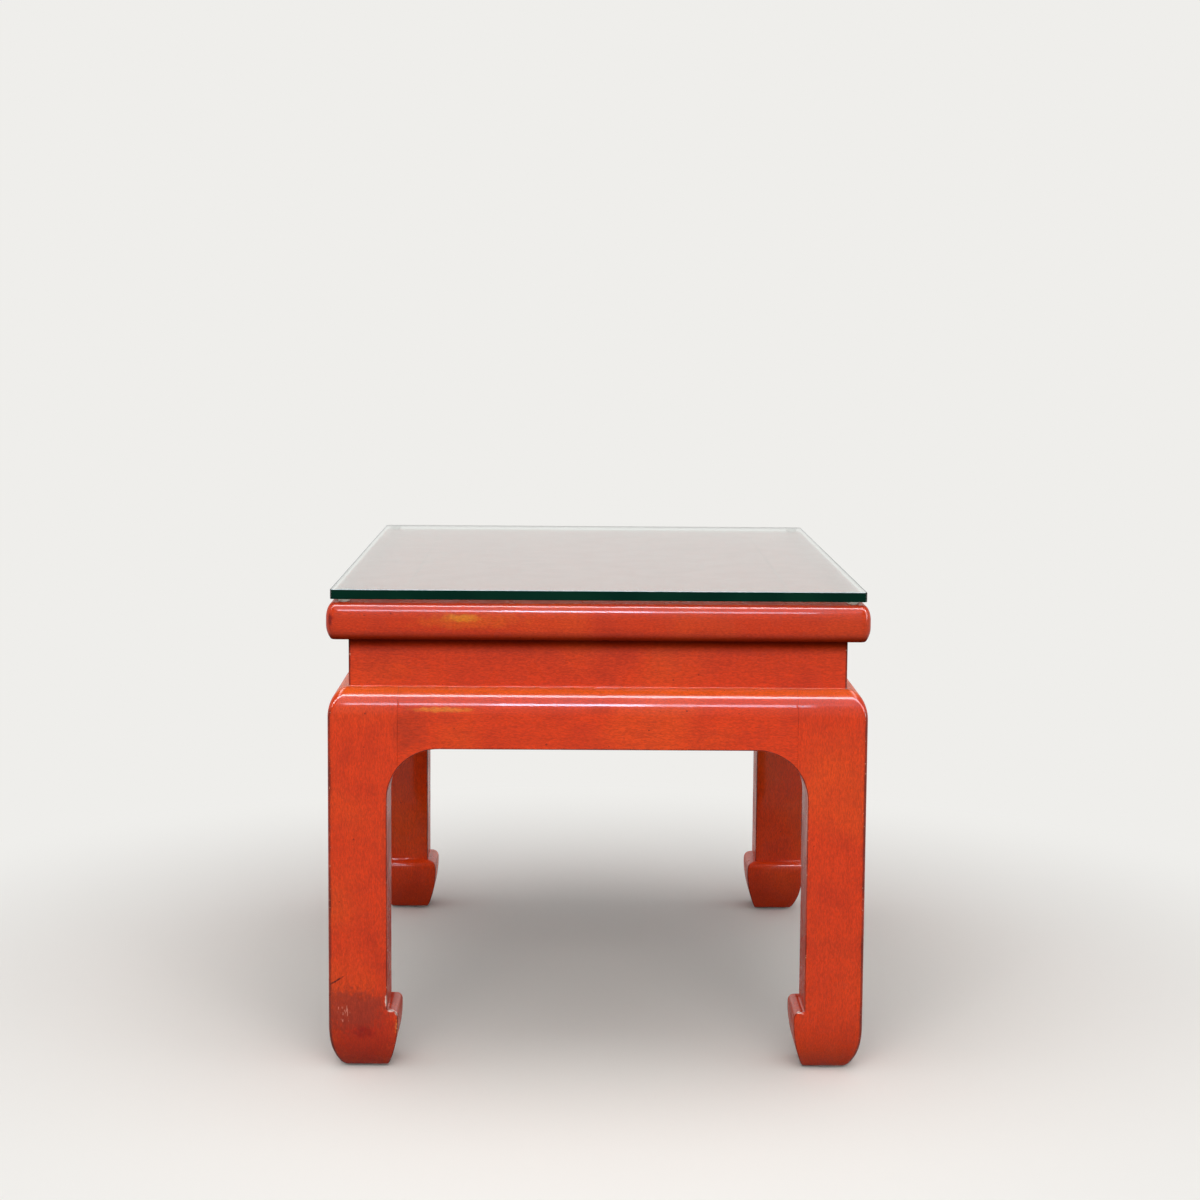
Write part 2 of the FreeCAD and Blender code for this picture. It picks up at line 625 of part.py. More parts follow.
def group(label, members):
    """One sub-part of several separate equal solids."""
    compound = doc.addObject("Part::Compound", label)
    compound.Label = label
    compound.Links = members
    subparts.append(compound)


def make_corner_screws():
    screws = []
    for quarter, corner in enumerate(CORNERS):
        screw = make_screw("corner_screw_" + corner, "corner_screw_radius", "corner_screw_length",
                           "corner_head_radius", "corner_head_height")
        set_fastener(screw, BLOCK_FACE, Vector(-1, -1, 0), quarter, slide_of(corner))
        screws.append(screw)
    group("corner_block_screws", screws)


def make_cleat_screws(label, length, place_x, depth, height, direction):
    screws = []
    for quarter, side in enumerate(SIDES):
        for sign in ("", "-"):
            screw = make_screw(f"{label}_{side}", "cleat_screw_radius", length,
                               "cleat_head_radius", "cleat_head_height")
            set_fastener(screw, (f"{sign}{place_x}", depth, height), direction, quarter, slide_of(side))
            screws.append(screw)
    group(label, screws)


def make_glass_top():
    glass = new_body("glass_top")
    half = "(glass_size / 2)"
    straight = f"({half} - glass_corner)"
    deep = f"({half} + {DEEPEN})"
    far = f"({straight} + {DEEPEN})"
    plan = add_sketch(glass, "plan", GLASS_UNDER)
    draw_loop(plan, [
        (f"-{straight}", f"-{deep}"), (straight, f"-{deep}", "glass_corner"),
        (half, f"-{far}"), (half, far, "glass_corner"),
        (straight, deep), (f"-{straight}", deep, "glass_corner"),
        (f"-{half}", far), (f"-{half}", f"-{far}", "glass_corner"),
    ])
    pad(glass, plan, "glass_thick")
    bevel = glass.newObject("PartDesign::Chamfer", "Chamfer")
    body_faces = glass.Shape.Faces
    names = [f"Face{number}" for number, face in enumerate(body_faces, start=1)
             if face.BoundBox.ZLength < 1e-6]
    bevel.Base = (next(item for item in glass.Group if item.TypeId == "PartDesign::Pad"), names)
    bevel.setExpression("Size", bound("glass_arris"))
    doc.recompute()
    finish(glass)


def make_glass_pad(corner, quarter):
    bumper = new_body("glass_pad_" + corner)
    revolve(bumper, [
        ("0", "0"),
        ("pad_radius", "0"),
        ("pad_radius", "pad_height - pad_round", "pad_round"),
        ("pad_radius - pad_round", "pad_height"),
        ("0", "pad_height"),
    ])
    place = "-(glass_size / 2 - pad_inset)"
    set_fastener(bumper, (place, place, TOP_FACE), UP, quarter, slide_of(corner))
    subparts.append(bumper)


def make_glide(corner, quarter):
    glide = new_body("glide_" + corner)
    shank = "nail_radius + drill_play"
    head = "nail_head_radius + drill_play"
    head_top = "nail_floor + nail_head_height"
    revolve(glide, [
        ("0", "0"),
        ("glide_radius - glide_round", "0", "glide_round"),
        ("glide_radius", "glide_round"),
        ("glide_radius", "glide_height"),
        (shank, "glide_height"),
        (shank, head_top),
        (head, head_top),
        (head, "nail_floor"),
        ("0", "nail_floor"),
    ])
    set_fastener(glide, (f"-{FOOT_CENTRE}", f"-{FOOT_CENTRE}", "0"), UP, quarter, slide_of(corner))
    subparts.append(glide)


def make_glide_nails():
    nails = []
    for quarter, corner in enumerate(CORNERS):
        nail = make_screw("nail_" + corner, "nail_radius", "nail_length",
                          "nail_head_radius", "nail_head_height")
        set_fastener(nail, (f"-{FOOT_CENTRE}", f"-{FOOT_CENTRE}", "nail_floor + nail_head_height"), UP, quarter,
                     slide_of(corner))
        nails.append(nail)
    group("glide_nails", nails)


# Places shared by a fastener and the holes it goes through
TOP_SCREW_X = "(top_screw_spacing / 2)"
WAIST_SCREW_X = "(waist_screw_spacing / 2)"
CLEAT_CENTRE = f"({WAIST_INNER} - cleat_side / 2)"
CLEAT_MIDDLE = f"({TOP_UNDER} - cleat_side / 2)"
BLOCK_MIDDLE = f"-({LEG_INNER} + leg_seat / 2 - block_reach / 2)"
BLOCK_FACE = (BLOCK_MIDDLE, BLOCK_MIDDLE, f"{ARCH} + block_rise + block_height / 2")

for turn, corner_name in enumerate(CORNERS):
    make_leg(corner_name, turn)
    make_corner_block(corner_name, turn)
    make_glide(corner_name, turn)
    make_glass_pad(corner_name, turn)
for turn, side_name in enumerate(SIDES):
    make_apron(side_name, turn)
    make_waist(side_name, turn)
    make_top_member(side_name, turn)
    make_cleat(side_name, turn)
make_top_panel()
make_batten("panel_batten_left", "-")
make_batten("panel_batten_right", "")
make_mitre_splines()
make_corner_screws()
make_cleat_screws("top_screws", "top_screw_length", TOP_SCREW_X,
                  f"-{CLEAT_CENTRE}", f"{TOP_UNDER} - cleat_side", UP)
make_cleat_screws("waist_screws", "waist_screw_length", WAIST_SCREW_X,
                  f"-{WAIST_INNER} + cleat_side", CLEAT_MIDDLE, Vector(0, -1, 0))
make_glide_nails()
make_glass_top()

doc.recompute()
for item in doc.Objects:
    if {"Invalid", "Error"} & set(item.State):
        raise RuntimeError(f"{item.Name} failed: {item.State}")
for subpart in subparts:
    if subpart.Shape.isNull() or not subpart.Shape.isValid():
        raise RuntimeError(f"{subpart.Label} has no valid shape")

os.makedirs("parts", exist_ok=True)
for subpart in subparts:
    subpart.Shape.exportStep(f"parts/{subpart.Label}.step")
    print(f"{subpart.Label}: {len(subpart.Shape.Solids)} solids, {subpart.Shape.Volume / 1000:.1f} cm3")
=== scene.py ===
from math import acos, asin, copysign, cos, pi, radians, sin

import bmesh
import bpy
from mathutils import Matrix, Vector


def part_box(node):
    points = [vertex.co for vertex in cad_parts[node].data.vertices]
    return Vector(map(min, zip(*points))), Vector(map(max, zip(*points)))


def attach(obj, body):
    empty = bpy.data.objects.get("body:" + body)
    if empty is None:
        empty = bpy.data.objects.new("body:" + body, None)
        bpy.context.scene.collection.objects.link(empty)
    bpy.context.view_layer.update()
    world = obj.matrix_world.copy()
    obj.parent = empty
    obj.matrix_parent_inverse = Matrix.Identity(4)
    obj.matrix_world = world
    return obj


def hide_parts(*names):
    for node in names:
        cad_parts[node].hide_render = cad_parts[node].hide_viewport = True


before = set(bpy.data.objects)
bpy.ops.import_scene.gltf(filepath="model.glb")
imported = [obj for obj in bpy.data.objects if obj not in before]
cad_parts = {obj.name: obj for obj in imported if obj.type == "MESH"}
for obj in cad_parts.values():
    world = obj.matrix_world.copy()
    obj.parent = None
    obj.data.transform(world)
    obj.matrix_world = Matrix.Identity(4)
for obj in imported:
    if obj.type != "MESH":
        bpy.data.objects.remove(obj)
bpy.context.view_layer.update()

mm = 0.001
touch = 0.1 * mm  # faces this near to a plane lie on it
cornerNames = ["front_left", "front_right", "back_right", "back_left"]  # each a quarter turn after the last
sideNames = ["front", "right", "back", "left"]

# pieces are made round a square and then slid: the front forwards and the back backwards by deepen
legLow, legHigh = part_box("leg_front_left")
deepen = legLow.x - legLow.y


def slideOf(name):
    return -deepen if "front" in name else deepen if "back" in name else 0


def extraOf(name):
    # how much longer at each end the left and right pieces are
    return 0 if slideOf(name) else deepen


def squareBox(node):
    # the box of a node before its slide
    slide = Vector((0, slideOf(node), 0))
    return [Vector(corner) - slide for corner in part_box(node)]


# where the pieces meet, read from the frame
apronHigh = squareBox("apron_front")[1]
waistLow, waistHigh = squareBox("waist_front")
topLow, topHigh = squareBox("top_frame_front")
panelLow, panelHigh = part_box("top_panel")
outerFace = -legLow.x        # legs and aprons, from the middle
legInner = -legHigh.x        # where an apron meets the leg
apronInner = -apronHigh.y
waistOuter = -waistLow.y
waistInner = -waistHigh.y
topOuter = -topLow.y
topInner = -topHigh.y
footLevel = legLow.z
ledgeLevel = apronHigh.z     # top of the shoulder, where the waist stands
topUnder = topLow.z
topFace = topHigh.z
print("frame read:", len(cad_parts), "nodes")


# small helpers

def linear(hexColour):
    parts = [int(hexColour[i:i + 2], 16) / 255 for i in (1, 3, 5)]
    return (*[c / 12.92 if c <= 0.04045 else ((c + 0.055) / 1.055) ** 2.4 for c in parts], 1.0)


def perMetre(millimetres):
    return 1000.0 / millimetres  # texture scale for a feature of that size


def addNode(tree, kind, inputs=(), **settings):
    # inputs go by name, or in the order of the sockets in use
    # each is a node, a socket, a hex colour or a plain value
    node = tree.nodes.new(kind)
    for key, value in settings.items():
        setattr(node, key, value)
    inUse = [socket for socket in node.inputs if socket.enabled]
    byName = isinstance(inputs, dict)
    for key, value in inputs.items() if byName else enumerate(inputs):
        socket = node.inputs[key] if byName else inUse[key]
        if isinstance(value, bpy.types.Node):
            value = next(output for output in value.outputs if output.enabled)
        if isinstance(value, bpy.types.NodeSocket):
            tree.links.new(value, socket)
        elif isinstance(value, str) and value.startswith("#"):
            socket.default_value = linear(value)
        else:
            socket.default_value = value
    return node


smooth = {"interpolation_type": "SMOOTHSTEP"}  # for a Map Range node
colours = {"data_type": "RGBA"}                # for a Mix node


def above(level, low, high, *tones):
    # heights in mm above a level, and what they give
    return [level + low * mm, level + high * mm, *tones]


def grainScale(sizes, grain):
    across, along = sizes
    return [perMetre(along if axis == grain else across) for axis in range(3)]


def emptyTree(owner):
    owner.use_nodes = True
    owner.node_tree.nodes.clear()
    return owner.node_tree


def newMaterial(name):
    material = bpy.data.materials.new(name)
    tree = emptyTree(material)
    return material, tree, addNode(tree, "ShaderNodeTexCoord").outputs["Object"]


def addObject(name, data):
    made = bpy.data.objects.new(name, data)
    bpy.context.scene.collection.objects.link(made)
    return made


def skin(name, rings, materials, finishAt=None, edges=None):
    # a closed skin over rings of points, each ring seen anticlockwise from its outer end
    # edges says how near each point is to an arris, 0 to 1, and the lacquer reads it
    weld = 0.002 * mm
    mesh = bpy.data.meshes.new(name)
    shape = bmesh.new()
    arris = shape.verts.layers.float.new("arris")
    rows = [[shape.verts.new(point) for point in ring] for ring in rings]
    for row, tones in zip(rows, edges or []):
        for vert, tone in zip(row, tones):
            vert[arris] = tone
    count = len(rings[0])
    for low, high in zip(rows, rows[1:]):
        for i in range(count):
            j = (i + 1) % count
            shape.faces.new((low[i], low[j], high[j], high[i]))
    shape.faces.new(list(reversed(rows[0])))
    shape.faces.new(rows[-1])
    bmesh.ops.remove_doubles(shape, verts=shape.verts, dist=weld)
    for face in shape.faces:
        face.smooth = True
        if finishAt:
            face.material_index = finishAt(face.calc_center_median())
    shape.to_mesh(mesh)
    shape.free()
    for material in materials:
        mesh.materials.append(material)
    return addObject(name, mesh)


def evenNormals(piece, sharpAngle=50, flatWeight=90):
    # flat faces keep their own normal, so that only the rounded edges catch the light
    piece.data.set_sharp_from_angle(angle=radians(sharpAngle))
    evener = piece.modifiers.new("evenNormals", "WEIGHTED_NORMAL")
    evener.keep_sharp = True
    evener.weight = flatWeight


def setPiece(piece, body, slot, *nodes):
    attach(piece, body)
    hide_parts(*nodes)


def setLacquered(piece, quarter, node):
    # turn a piece made for the front, or the front left corner, to its own side
    evenNormals(piece)
    slide = Matrix.Translation((0, slideOf(node), 0))
    piece.data.transform(slide @ Matrix.Rotation(quarter * pi / 2, 4, "Z"))
    setPiece(piece, "table", "lacquer", node)


def steps(low, high, count):
    return [low + (high - low) * i / count for i in range(count + 1)]


def camelName(name):
    first, *others = name.split("_")
    return first + "".join(word.capitalize() for word in others)


# lacquer

lacquerLook = {
    "vermilion": "#d23a0e", "deepRed": "#b52b0b", "orange": "#dd5012", "ledge": "#f26a2a",
    "glaze": "#3c0a03", "speck": "#3a0b05", "chip": "#efb493",
    # sizes of the patterns in mm, grain and brush lines across and along
    "cloudSize": 40, "orangeSize": 120, "grainSize": (1.0, 3.2), "brushSize": (2.2, 45),
    "speckSpacing": 13, "chipSize": 2.5, "waveSize": 30, "waveDepth": 0.007, "grainDepth": 0.004,
    # from and to in a pattern, and what it gives there; the edge values set the painted shade along the
    # rounded edges
    "cloudShare": (0.4, 0.75, 0, 0.5), "orangeShare": (0.45, 0.7, 0, 0.45),
    "grainShade": (0.3, 0.7, 0.78, 1.16), "brushShade": (0.3, 0.7, 0.94, 1.05), "lineRoughness": 0.65,
    "speckWidth": (0.6, 1.0, 0, 0.08), "speckShare": 0.7, "unevenEdgeShade": 0.9,
    "edgeShade": (0.85, 1.6, 0, 0.85), "chipShare": (0.66, 0.72, 0, 0.7), "chipEdge": (0.5, 0.9),
    # from and to in mm above the ledge, the top's underside, its face or the floor, and what it gives there:
    # painted light on the ledge, painted shade on the top's face and round its underside, and a darkening
    # towards the floor
    "ledgeUnder": (-9, -3, 0, 0.65), "ledgeOver": (0.8, 0.3), "waistTone": (0, 6, 1, 0.94),
    "topTone": (0, 3, 1, 0.872), "faceShade": (-4, -1, 1, 0.8), "faceShadeLift": (14, 48, 1, 1.5),
    "recessShadeOver": (11, -0.5, 0, 0.85), "recessShadeUnder": (-19, -1, 0, 0.9), "darkerTowardsFloor": (70, 4, 0, 0.25),
    # gloss
    "roughness": (0.3, 0.7, 0.2, 0.34), "ior": 1.15, "specular": 0.5, "coat": 0.35,
    "coatRoughness": 0.045, "coatIor": 1.5, "edgeOnGloss": (0.7, 0.92, 1, 0.16),
    "recessGloss": (0.1, 0.8, 1, 0),
}

# spots of wear and of painted light and shade: middle and half size in mm, colour, strength, fleck in mm,
# turn in degrees, what shows
cloudedJoint = ((-193, -362, 355), (22, 10, 32), "#a02c10", 0.5, 12)
slabWearAndLight = [
    ((-130, -363, 466), (75, 12, 11), "#dc5a10", 0.6, 9),  # slab, painted orange reflection
    ((-137, -363, 468.5), (24, 12, 5.5), "#e4901c", 0.62, 7),  # and painted yellow reflection
    ((-158, -361, 375.2), (40, 12, 3.5), "#e4902a", 0.5, 6),  # painted yellow reflection along the shoulder
    ((-270.5, -360, 466.5), (5, 9, 8), "#7a0c08", 0.85, 4),  # painted shade on the slab's rounded left end
    ((3, -360, 377), (18, 10, 9), "#8a2409", 0.3, 5),
    cloudedJoint,
]
legWearAndGlints = [
    cloudedJoint,
    ((-240, -360, 32), (58, 25, 58), "#ab1c09", 0.65, (3, 3, 5)),  # crimson left foot
    ((-250, -360, 64), (56, 25, 33), "#95301d", 0.76, (3, 3, 4), 0, (0.25, -0.2)),  # brown, worn zone
    ((-258, -360, 62), (28, 10, 36), "#dc8a74", 0.7, (1.2, 1.2, 5), 0, (-0.43, -0.57)),  # pale scuffs
    ((-237, -356, 41), (16, 12, 10), "#8f0a04", 0.8, 4),  # stain
    ((-265.5, -362, 94.3), (12.5, 5, 1.2), "#4a140c", 0.95, 2, 32),  # scratch
    ((-214.5, -360, 73.5), (1.6, 4, 8), "#f6e2d8", 0.9, 2),  # chips and painted glints round the toes
    # along the left toe's upper edge: pale chips with painted glint
    ((-209.5, -360, 63.2), (5.5, 4, 1.6), "#f8d8cf", 0.95, 3),
    ((-204.2, -360, 60.0), (1.4, 4, 3.4), "#f8d8cf", 0.9, 3, 25),
    ((-204.2, -358, 46.5), (2.2, 6, 11), "#ee8a42", 0.95, 2),
    # painted glint along the right toe's upper edge
    ((209, -360, 62.8), (6, 4, 1.8), "#f8cfc6", 0.95, 4, -14),
]


def wearAndLightSpot(tree, place, colour, middle, half, paint, strength, fleck, turn=0, show=(0.4, -0.3)):
    # a soft-edged spot broken up into flecks
    breakUp = -1.2
    middle, half = [[side * mm for side in sides] for sides in (middle, half)]
    offset = addNode(tree, "ShaderNodeVectorMath", [place, middle], operation="SUBTRACT")
    if turn:
        inputs = {"Vector": offset, "Angle": radians(turn)}
        offset = addNode(tree, "ShaderNodeVectorRotate", inputs, rotation_type="Y_AXIS")
    scaled = addNode(tree, "ShaderNodeVectorMath", [offset, half], operation="DIVIDE")
    away = addNode(tree, "ShaderNodeVectorMath", [scaled], operation="LENGTH")
    sizes = fleck if isinstance(fleck, tuple) else (fleck,) * 3
    drawn = addNode(tree, "ShaderNodeMapping", {"Vector": place, "Scale": [perMetre(size) for size in sizes]})
    flecks = addNode(tree, "ShaderNodeTexNoise", {"Vector": drawn, "Scale": 1.0, "Detail": 4.0})
    ragged = addNode(tree, "ShaderNodeMath", [flecks, breakUp, away], operation="MULTIPLY_ADD")
    share = addNode(tree, "ShaderNodeMapRange", [ragged, *show, 0, strength], **smooth)
    return addNode(tree, "ShaderNodeMix", [share, colour, paint], **colours)


def lacquerGround(tree, place, height, cloud, wear):
    # red clouded with deeper red and orange, painted light on the ledge, which faces up, and the spots of
    # wear and painted light
    look = lacquerLook
    deep = addNode(tree, "ShaderNodeMapRange", [cloud, *look["cloudShare"]], **smooth)
    colour = addNode(tree, "ShaderNodeMix", [deep, look["vermilion"], look["deepRed"]], **colours)
    inputs = {"Vector": place, "Scale": perMetre(look["orangeSize"]), "Detail": 2.0}
    lift = addNode(tree, "ShaderNodeTexNoise", inputs)
    warm = addNode(tree, "ShaderNodeMapRange", [lift, *look["orangeShare"]], **smooth)
    colour = addNode(tree, "ShaderNodeMix", [warm, colour, look["orange"]], **colours)
    # painted light on the ledge, which faces up
    under = addNode(tree, "ShaderNodeMapRange", [height, *above(ledgeLevel, *look["ledgeUnder"])], **smooth)
    over = addNode(tree, "ShaderNodeMapRange", [height, *above(ledgeLevel, *look["ledgeOver"])], **smooth)
    ledge = addNode(tree, "ShaderNodeMath", [under, over], operation="MULTIPLY")
    colour = addNode(tree, "ShaderNodeMix", [ledge, colour, look["ledge"]], **colours)
    for spot in wear:
        colour = wearAndLightSpot(tree, place, colour, *spot)
    return colour


def lacquerShade(tree, across, along, height, lines):
    look = lacquerLook
    fine = addNode(tree, "ShaderNodeMapRange", [lines[0], *look["grainShade"]], **smooth)
    brushed = addNode(tree, "ShaderNodeMapRange", [lines[1], *look["brushShade"]], **smooth)
    shade = addNode(tree, "ShaderNodeMath", [fine, brushed], operation="MULTIPLY")
    # waist and top are a little deeper than the aprons; the top's face carries painted shade, deepest along
    # its border and lifted towards the middle
    for level, tone in ((ledgeLevel, "waistTone"), (topUnder, "topTone"), (topFace, "faceShade")):
        deeper = addNode(tree, "ShaderNodeMapRange", [height, *above(level, *look[tone])], **smooth)
        shade = addNode(tree, "ShaderNodeMath", [shade, deeper], operation="MULTIPLY")
    inside = []
    for distance, half in ((across, topOuter), (along, topOuter + deepen)):
        sideways = addNode(tree, "ShaderNodeMath", [distance], operation="ABSOLUTE")
        inside.append(addNode(tree, "ShaderNodeMath", [half, sideways], operation="SUBTRACT"))
    border = addNode(tree, "ShaderNodeMath", inside, operation="MINIMUM")
    shadeLift = addNode(tree, "ShaderNodeMapRange", [border, *above(0, *look["faceShadeLift"])], **smooth)
    start, end = look["faceShade"][:2]
    onTop = addNode(tree, "ShaderNodeMapRange", [height, *above(topFace, start, end, 1.0, shadeLift)], **smooth)
    shade = addNode(tree, "ShaderNodeMath", [shade, onTop], operation="MULTIPLY")
    return addNode(tree, "ShaderNodeCombineColor", [shade] * 3)


def lacquerShadeAndChips(tree, place, height, cloud, colour):
    look = lacquerLook
    glaze = look["glaze"]
    # painted shade along the rounded edges, with a few pale chips
    arris = addNode(tree, "ShaderNodeAttribute", attribute_name="arris").outputs["Fac"]
    uneven = addNode(tree, "ShaderNodeMath", [cloud, look["unevenEdgeShade"], arris], operation="MULTIPLY_ADD")
    edge = addNode(tree, "ShaderNodeMapRange", [uneven, *look["edgeShade"]], **smooth)
    colour = addNode(tree, "ShaderNodeMix", [edge, colour, glaze], **colours)
    inputs = {"Vector": place, "Scale": perMetre(look["chipSize"]), "Detail": 3.0}
    chips = addNode(tree, "ShaderNodeMapRange",
                    [addNode(tree, "ShaderNodeTexNoise", inputs), *look["chipShare"]], **smooth)
    onEdge = addNode(tree, "ShaderNodeMapRange", [arris, *look["chipEdge"]], **smooth)
    chipped = addNode(tree, "ShaderNodeMath", [chips, onEdge], operation="MULTIPLY")
    colour = addNode(tree, "ShaderNodeMix", [chipped, colour, look["chip"]], **colours)
    # painted shade in the angle between top and waist, and a darkening towards the floor
    over = addNode(tree, "ShaderNodeMapRange", [height, *above(topUnder, *look["recessShadeOver"])], **smooth)
    under = addNode(tree, "ShaderNodeMapRange", [height, *above(topUnder, *look["recessShadeUnder"])], **smooth)
    recessShade = addNode(tree, "ShaderNodeMath", [over, under], operation="MINIMUM")
    colour = addNode(tree, "ShaderNodeMix", [recessShade, colour, glaze], **colours)
    towardsFloor = addNode(tree, "ShaderNodeMapRange", [height, *above(0, *look["darkerTowardsFloor"])], **smooth)
    return addNode(tree, "ShaderNodeMix", [towardsFloor, colour, glaze], **colours), recessShade


def makeLacquer(name, grain, wear):
    # rubbed vermilion lacquer on wood: clear gloss over a slightly clouded red, fine grain and brush lines
    # along the piece, a few dark specks, painted shade along the edges and under the top, and darker towards
    # the floor
    look = lacquerLook
    material, tree, place = newMaterial(name)
    lines = []
    for size in ("grainSize", "brushSize"):
        inputs = {"Vector": place, "Scale": grainScale(look[size], grain)}
        inputs = {"Vector": addNode(tree, "ShaderNodeMapping", inputs), "Scale": 1.0, "Detail": 3.0,
                  "Roughness": look["lineRoughness"]}
        lines.append(addNode(tree, "ShaderNodeTexNoise", inputs))
    inputs = {"Vector": place, "Scale": perMetre(look["cloudSize"]), "Detail": 4.0}
    cloud = addNode(tree, "ShaderNodeTexNoise", inputs)
    across, along, height = addNode(tree, "ShaderNodeSeparateXYZ", [place]).outputs
    colour = lacquerGround(tree, place, height, cloud, wear)
    shade = lacquerShade(tree, across, along, height, lines)
    colour = addNode(tree, "ShaderNodeMix", [1.0, colour, shade], blend_type="MULTIPLY", **colours)
    inputs = {"Vector": place, "Scale": perMetre(look["speckSpacing"])}
    cells = addNode(tree, "ShaderNodeTexVoronoi", inputs).outputs
    few = addNode(tree, "ShaderNodeSeparateColor", [cells["Color"]])
    width = addNode(tree, "ShaderNodeMapRange", [few, *look["speckWidth"]], **smooth)
    speck = addNode(tree, "ShaderNodeMath", [cells["Distance"], width], operation="LESS_THAN")
    speck = addNode(tree, "ShaderNodeMath", [speck, look["speckShare"]], operation="MULTIPLY")
    colour = addNode(tree, "ShaderNodeMix", [speck, colour, look["speck"]], **colours)
    colour, recessShade = lacquerShadeAndChips(tree, place, height, cloud, colour)
    rough = addNode(tree, "ShaderNodeMapRange", [cloud, *look["roughness"]], **smooth)
    inputs = {"Vector": place, "Scale": perMetre(look["waveSize"]), "Detail": 1.0}
    wave = addNode(tree, "ShaderNodeTexNoise", inputs)
    inputs = {"Height": wave, "Strength": 1.0, "Distance": look["waveDepth"] * mm}
    slow = addNode(tree, "ShaderNodeBump", inputs)
    inputs = {"Height": lines[0], "Strength": 1.0, "Distance": look["grainDepth"] * mm, "Normal": slow}
    fine = addNode(tree, "ShaderNodeBump", inputs)
    # less gloss in the angle under the top, which deepens its painted shade, and on faces seen edge on, which
    # dims their grazing reflection as painted shade
    facing = addNode(tree, "ShaderNodeLayerWeight", {"Blend": 0.5}).outputs["Facing"]
    edgeOn = addNode(tree, "ShaderNodeMapRange", [facing, *look["edgeOnGloss"]], **smooth)
    clean = addNode(tree, "ShaderNodeMapRange", [recessShade, *look["recessGloss"]], **smooth)
    gloss = addNode(tree, "ShaderNodeMath", [edgeOn, clean], operation="MULTIPLY")
    coat = addNode(tree, "ShaderNodeMath", [gloss, look["coat"]], operation="MULTIPLY")
    specular = addNode(tree, "ShaderNodeMath", [gloss, look["specular"]], operation="MULTIPLY")
    shader = addNode(tree, "ShaderNodeBsdfPrincipled", {
        "Base Color": colour, "Roughness": rough, "Normal": fine, "IOR": look["ior"],
        "Specular IOR Level": specular, "Coat Weight": coat, "Coat Normal": slow,
        "Coat Roughness": look["coatRoughness"], "Coat IOR": look["coatIor"]})
    addNode(tree, "ShaderNodeOutputMaterial", {"Surface": shader})
    return material


# other materials

woodLook = {"pale": "#9a7350", "dark": "#6b4a30", "pore": "#3f2a1b", "ringSize": (7, 180),
            "poreSize": (0.5, 15), "ringShare": (0.35, 0.65), "poreShare": (0.58, 0.72, 0, 0.7),
            "roughness": 0.72, "poreDepth": 0.08, "poreStrength": 0.7}


def makeSawnWood(name, grain):
    # plain sawn elm inside the table: dull brown, with open pores and saw lines along the grain
    look = woodLook
    material, tree, place = newMaterial(name)
    inputs = {"Vector": place, "Scale": grainScale(look["ringSize"], grain)}
    inputs = {"Vector": addNode(tree, "ShaderNodeMapping", inputs), "Scale": 1.0, "Detail": 3.0}
    rings = addNode(tree, "ShaderNodeTexNoise", inputs)
    inputs = {"Vector": place, "Scale": grainScale(look["poreSize"], grain)}
    inputs = {"Vector": addNode(tree, "ShaderNodeMapping", inputs), "Scale": 1.0, "Detail": 2.0}
    pores = addNode(tree, "ShaderNodeTexNoise", inputs)
    share = addNode(tree, "ShaderNodeMapRange", [rings, *look["ringShare"]], **smooth)
    colour = addNode(tree, "ShaderNodeMix", [share, look["pale"], look["dark"]], **colours)
    share = addNode(tree, "ShaderNodeMapRange", [pores, *look["poreShare"]], **smooth)
    colour = addNode(tree, "ShaderNodeMix", [share, colour, look["pore"]], **colours)
    inputs = {"Height": pores, "Strength": look["poreStrength"], "Distance": look["poreDepth"] * mm}
    bump = addNode(tree, "ShaderNodeBump", inputs)
    inputs = {"Base Color": colour, "Roughness": look["roughness"], "Normal": bump}
    shader = addNode(tree, "ShaderNodeBsdfPrincipled", inputs)
    addNode(tree, "ShaderNodeOutputMaterial", {"Surface": shader})
    return material


def passLight(tree, shader, tint):
    # lamps shine on through the glass, which would otherwise cast the shadow of a board
    shadow = addNode(tree, "ShaderNodeLightPath").outputs["Is Shadow Ray"]
    clear = addNode(tree, "ShaderNodeBsdfTransparent", {"Color": tint})
    return addNode(tree, "ShaderNodeMixShader", [shadow, shader, clear])


glassLook = {"smearSize": 70, "smear": (0.45, 0.75, 0.0, 0.03), "ior": 1.52, "tint": "#f3faf7",
             "absorbs": (0.2, 0.75, 0.6, 1), "density": 5.0}


def makeFloatGlass():
    # 10 mm clear float glass: colourless face on, with a few dull smears
    look = glassLook
    material, tree, place = newMaterial("floatGlass")
    inputs = {"Vector": place, "Scale": perMetre(look["smearSize"]), "Detail": 3.0}
    smear = addNode(tree, "ShaderNodeTexNoise", inputs)
    rough = addNode(tree, "ShaderNodeMapRange", [smear, *look["smear"]], **smooth)
    shader = addNode(tree, "ShaderNodeBsdfPrincipled", {
        "Base Color": (1, 1, 1, 1), "Roughness": rough, "IOR": look["ior"], "Transmission Weight": 1.0})
    inputs = {"Color": look["absorbs"], "Density": look["density"]}
    absorb = addNode(tree, "ShaderNodeVolumeAbsorption", inputs)
    inputs = {"Surface": passLight(tree, shader, look["tint"]), "Volume": absorb}
    addNode(tree, "ShaderNodeOutputMaterial", inputs)
    return material


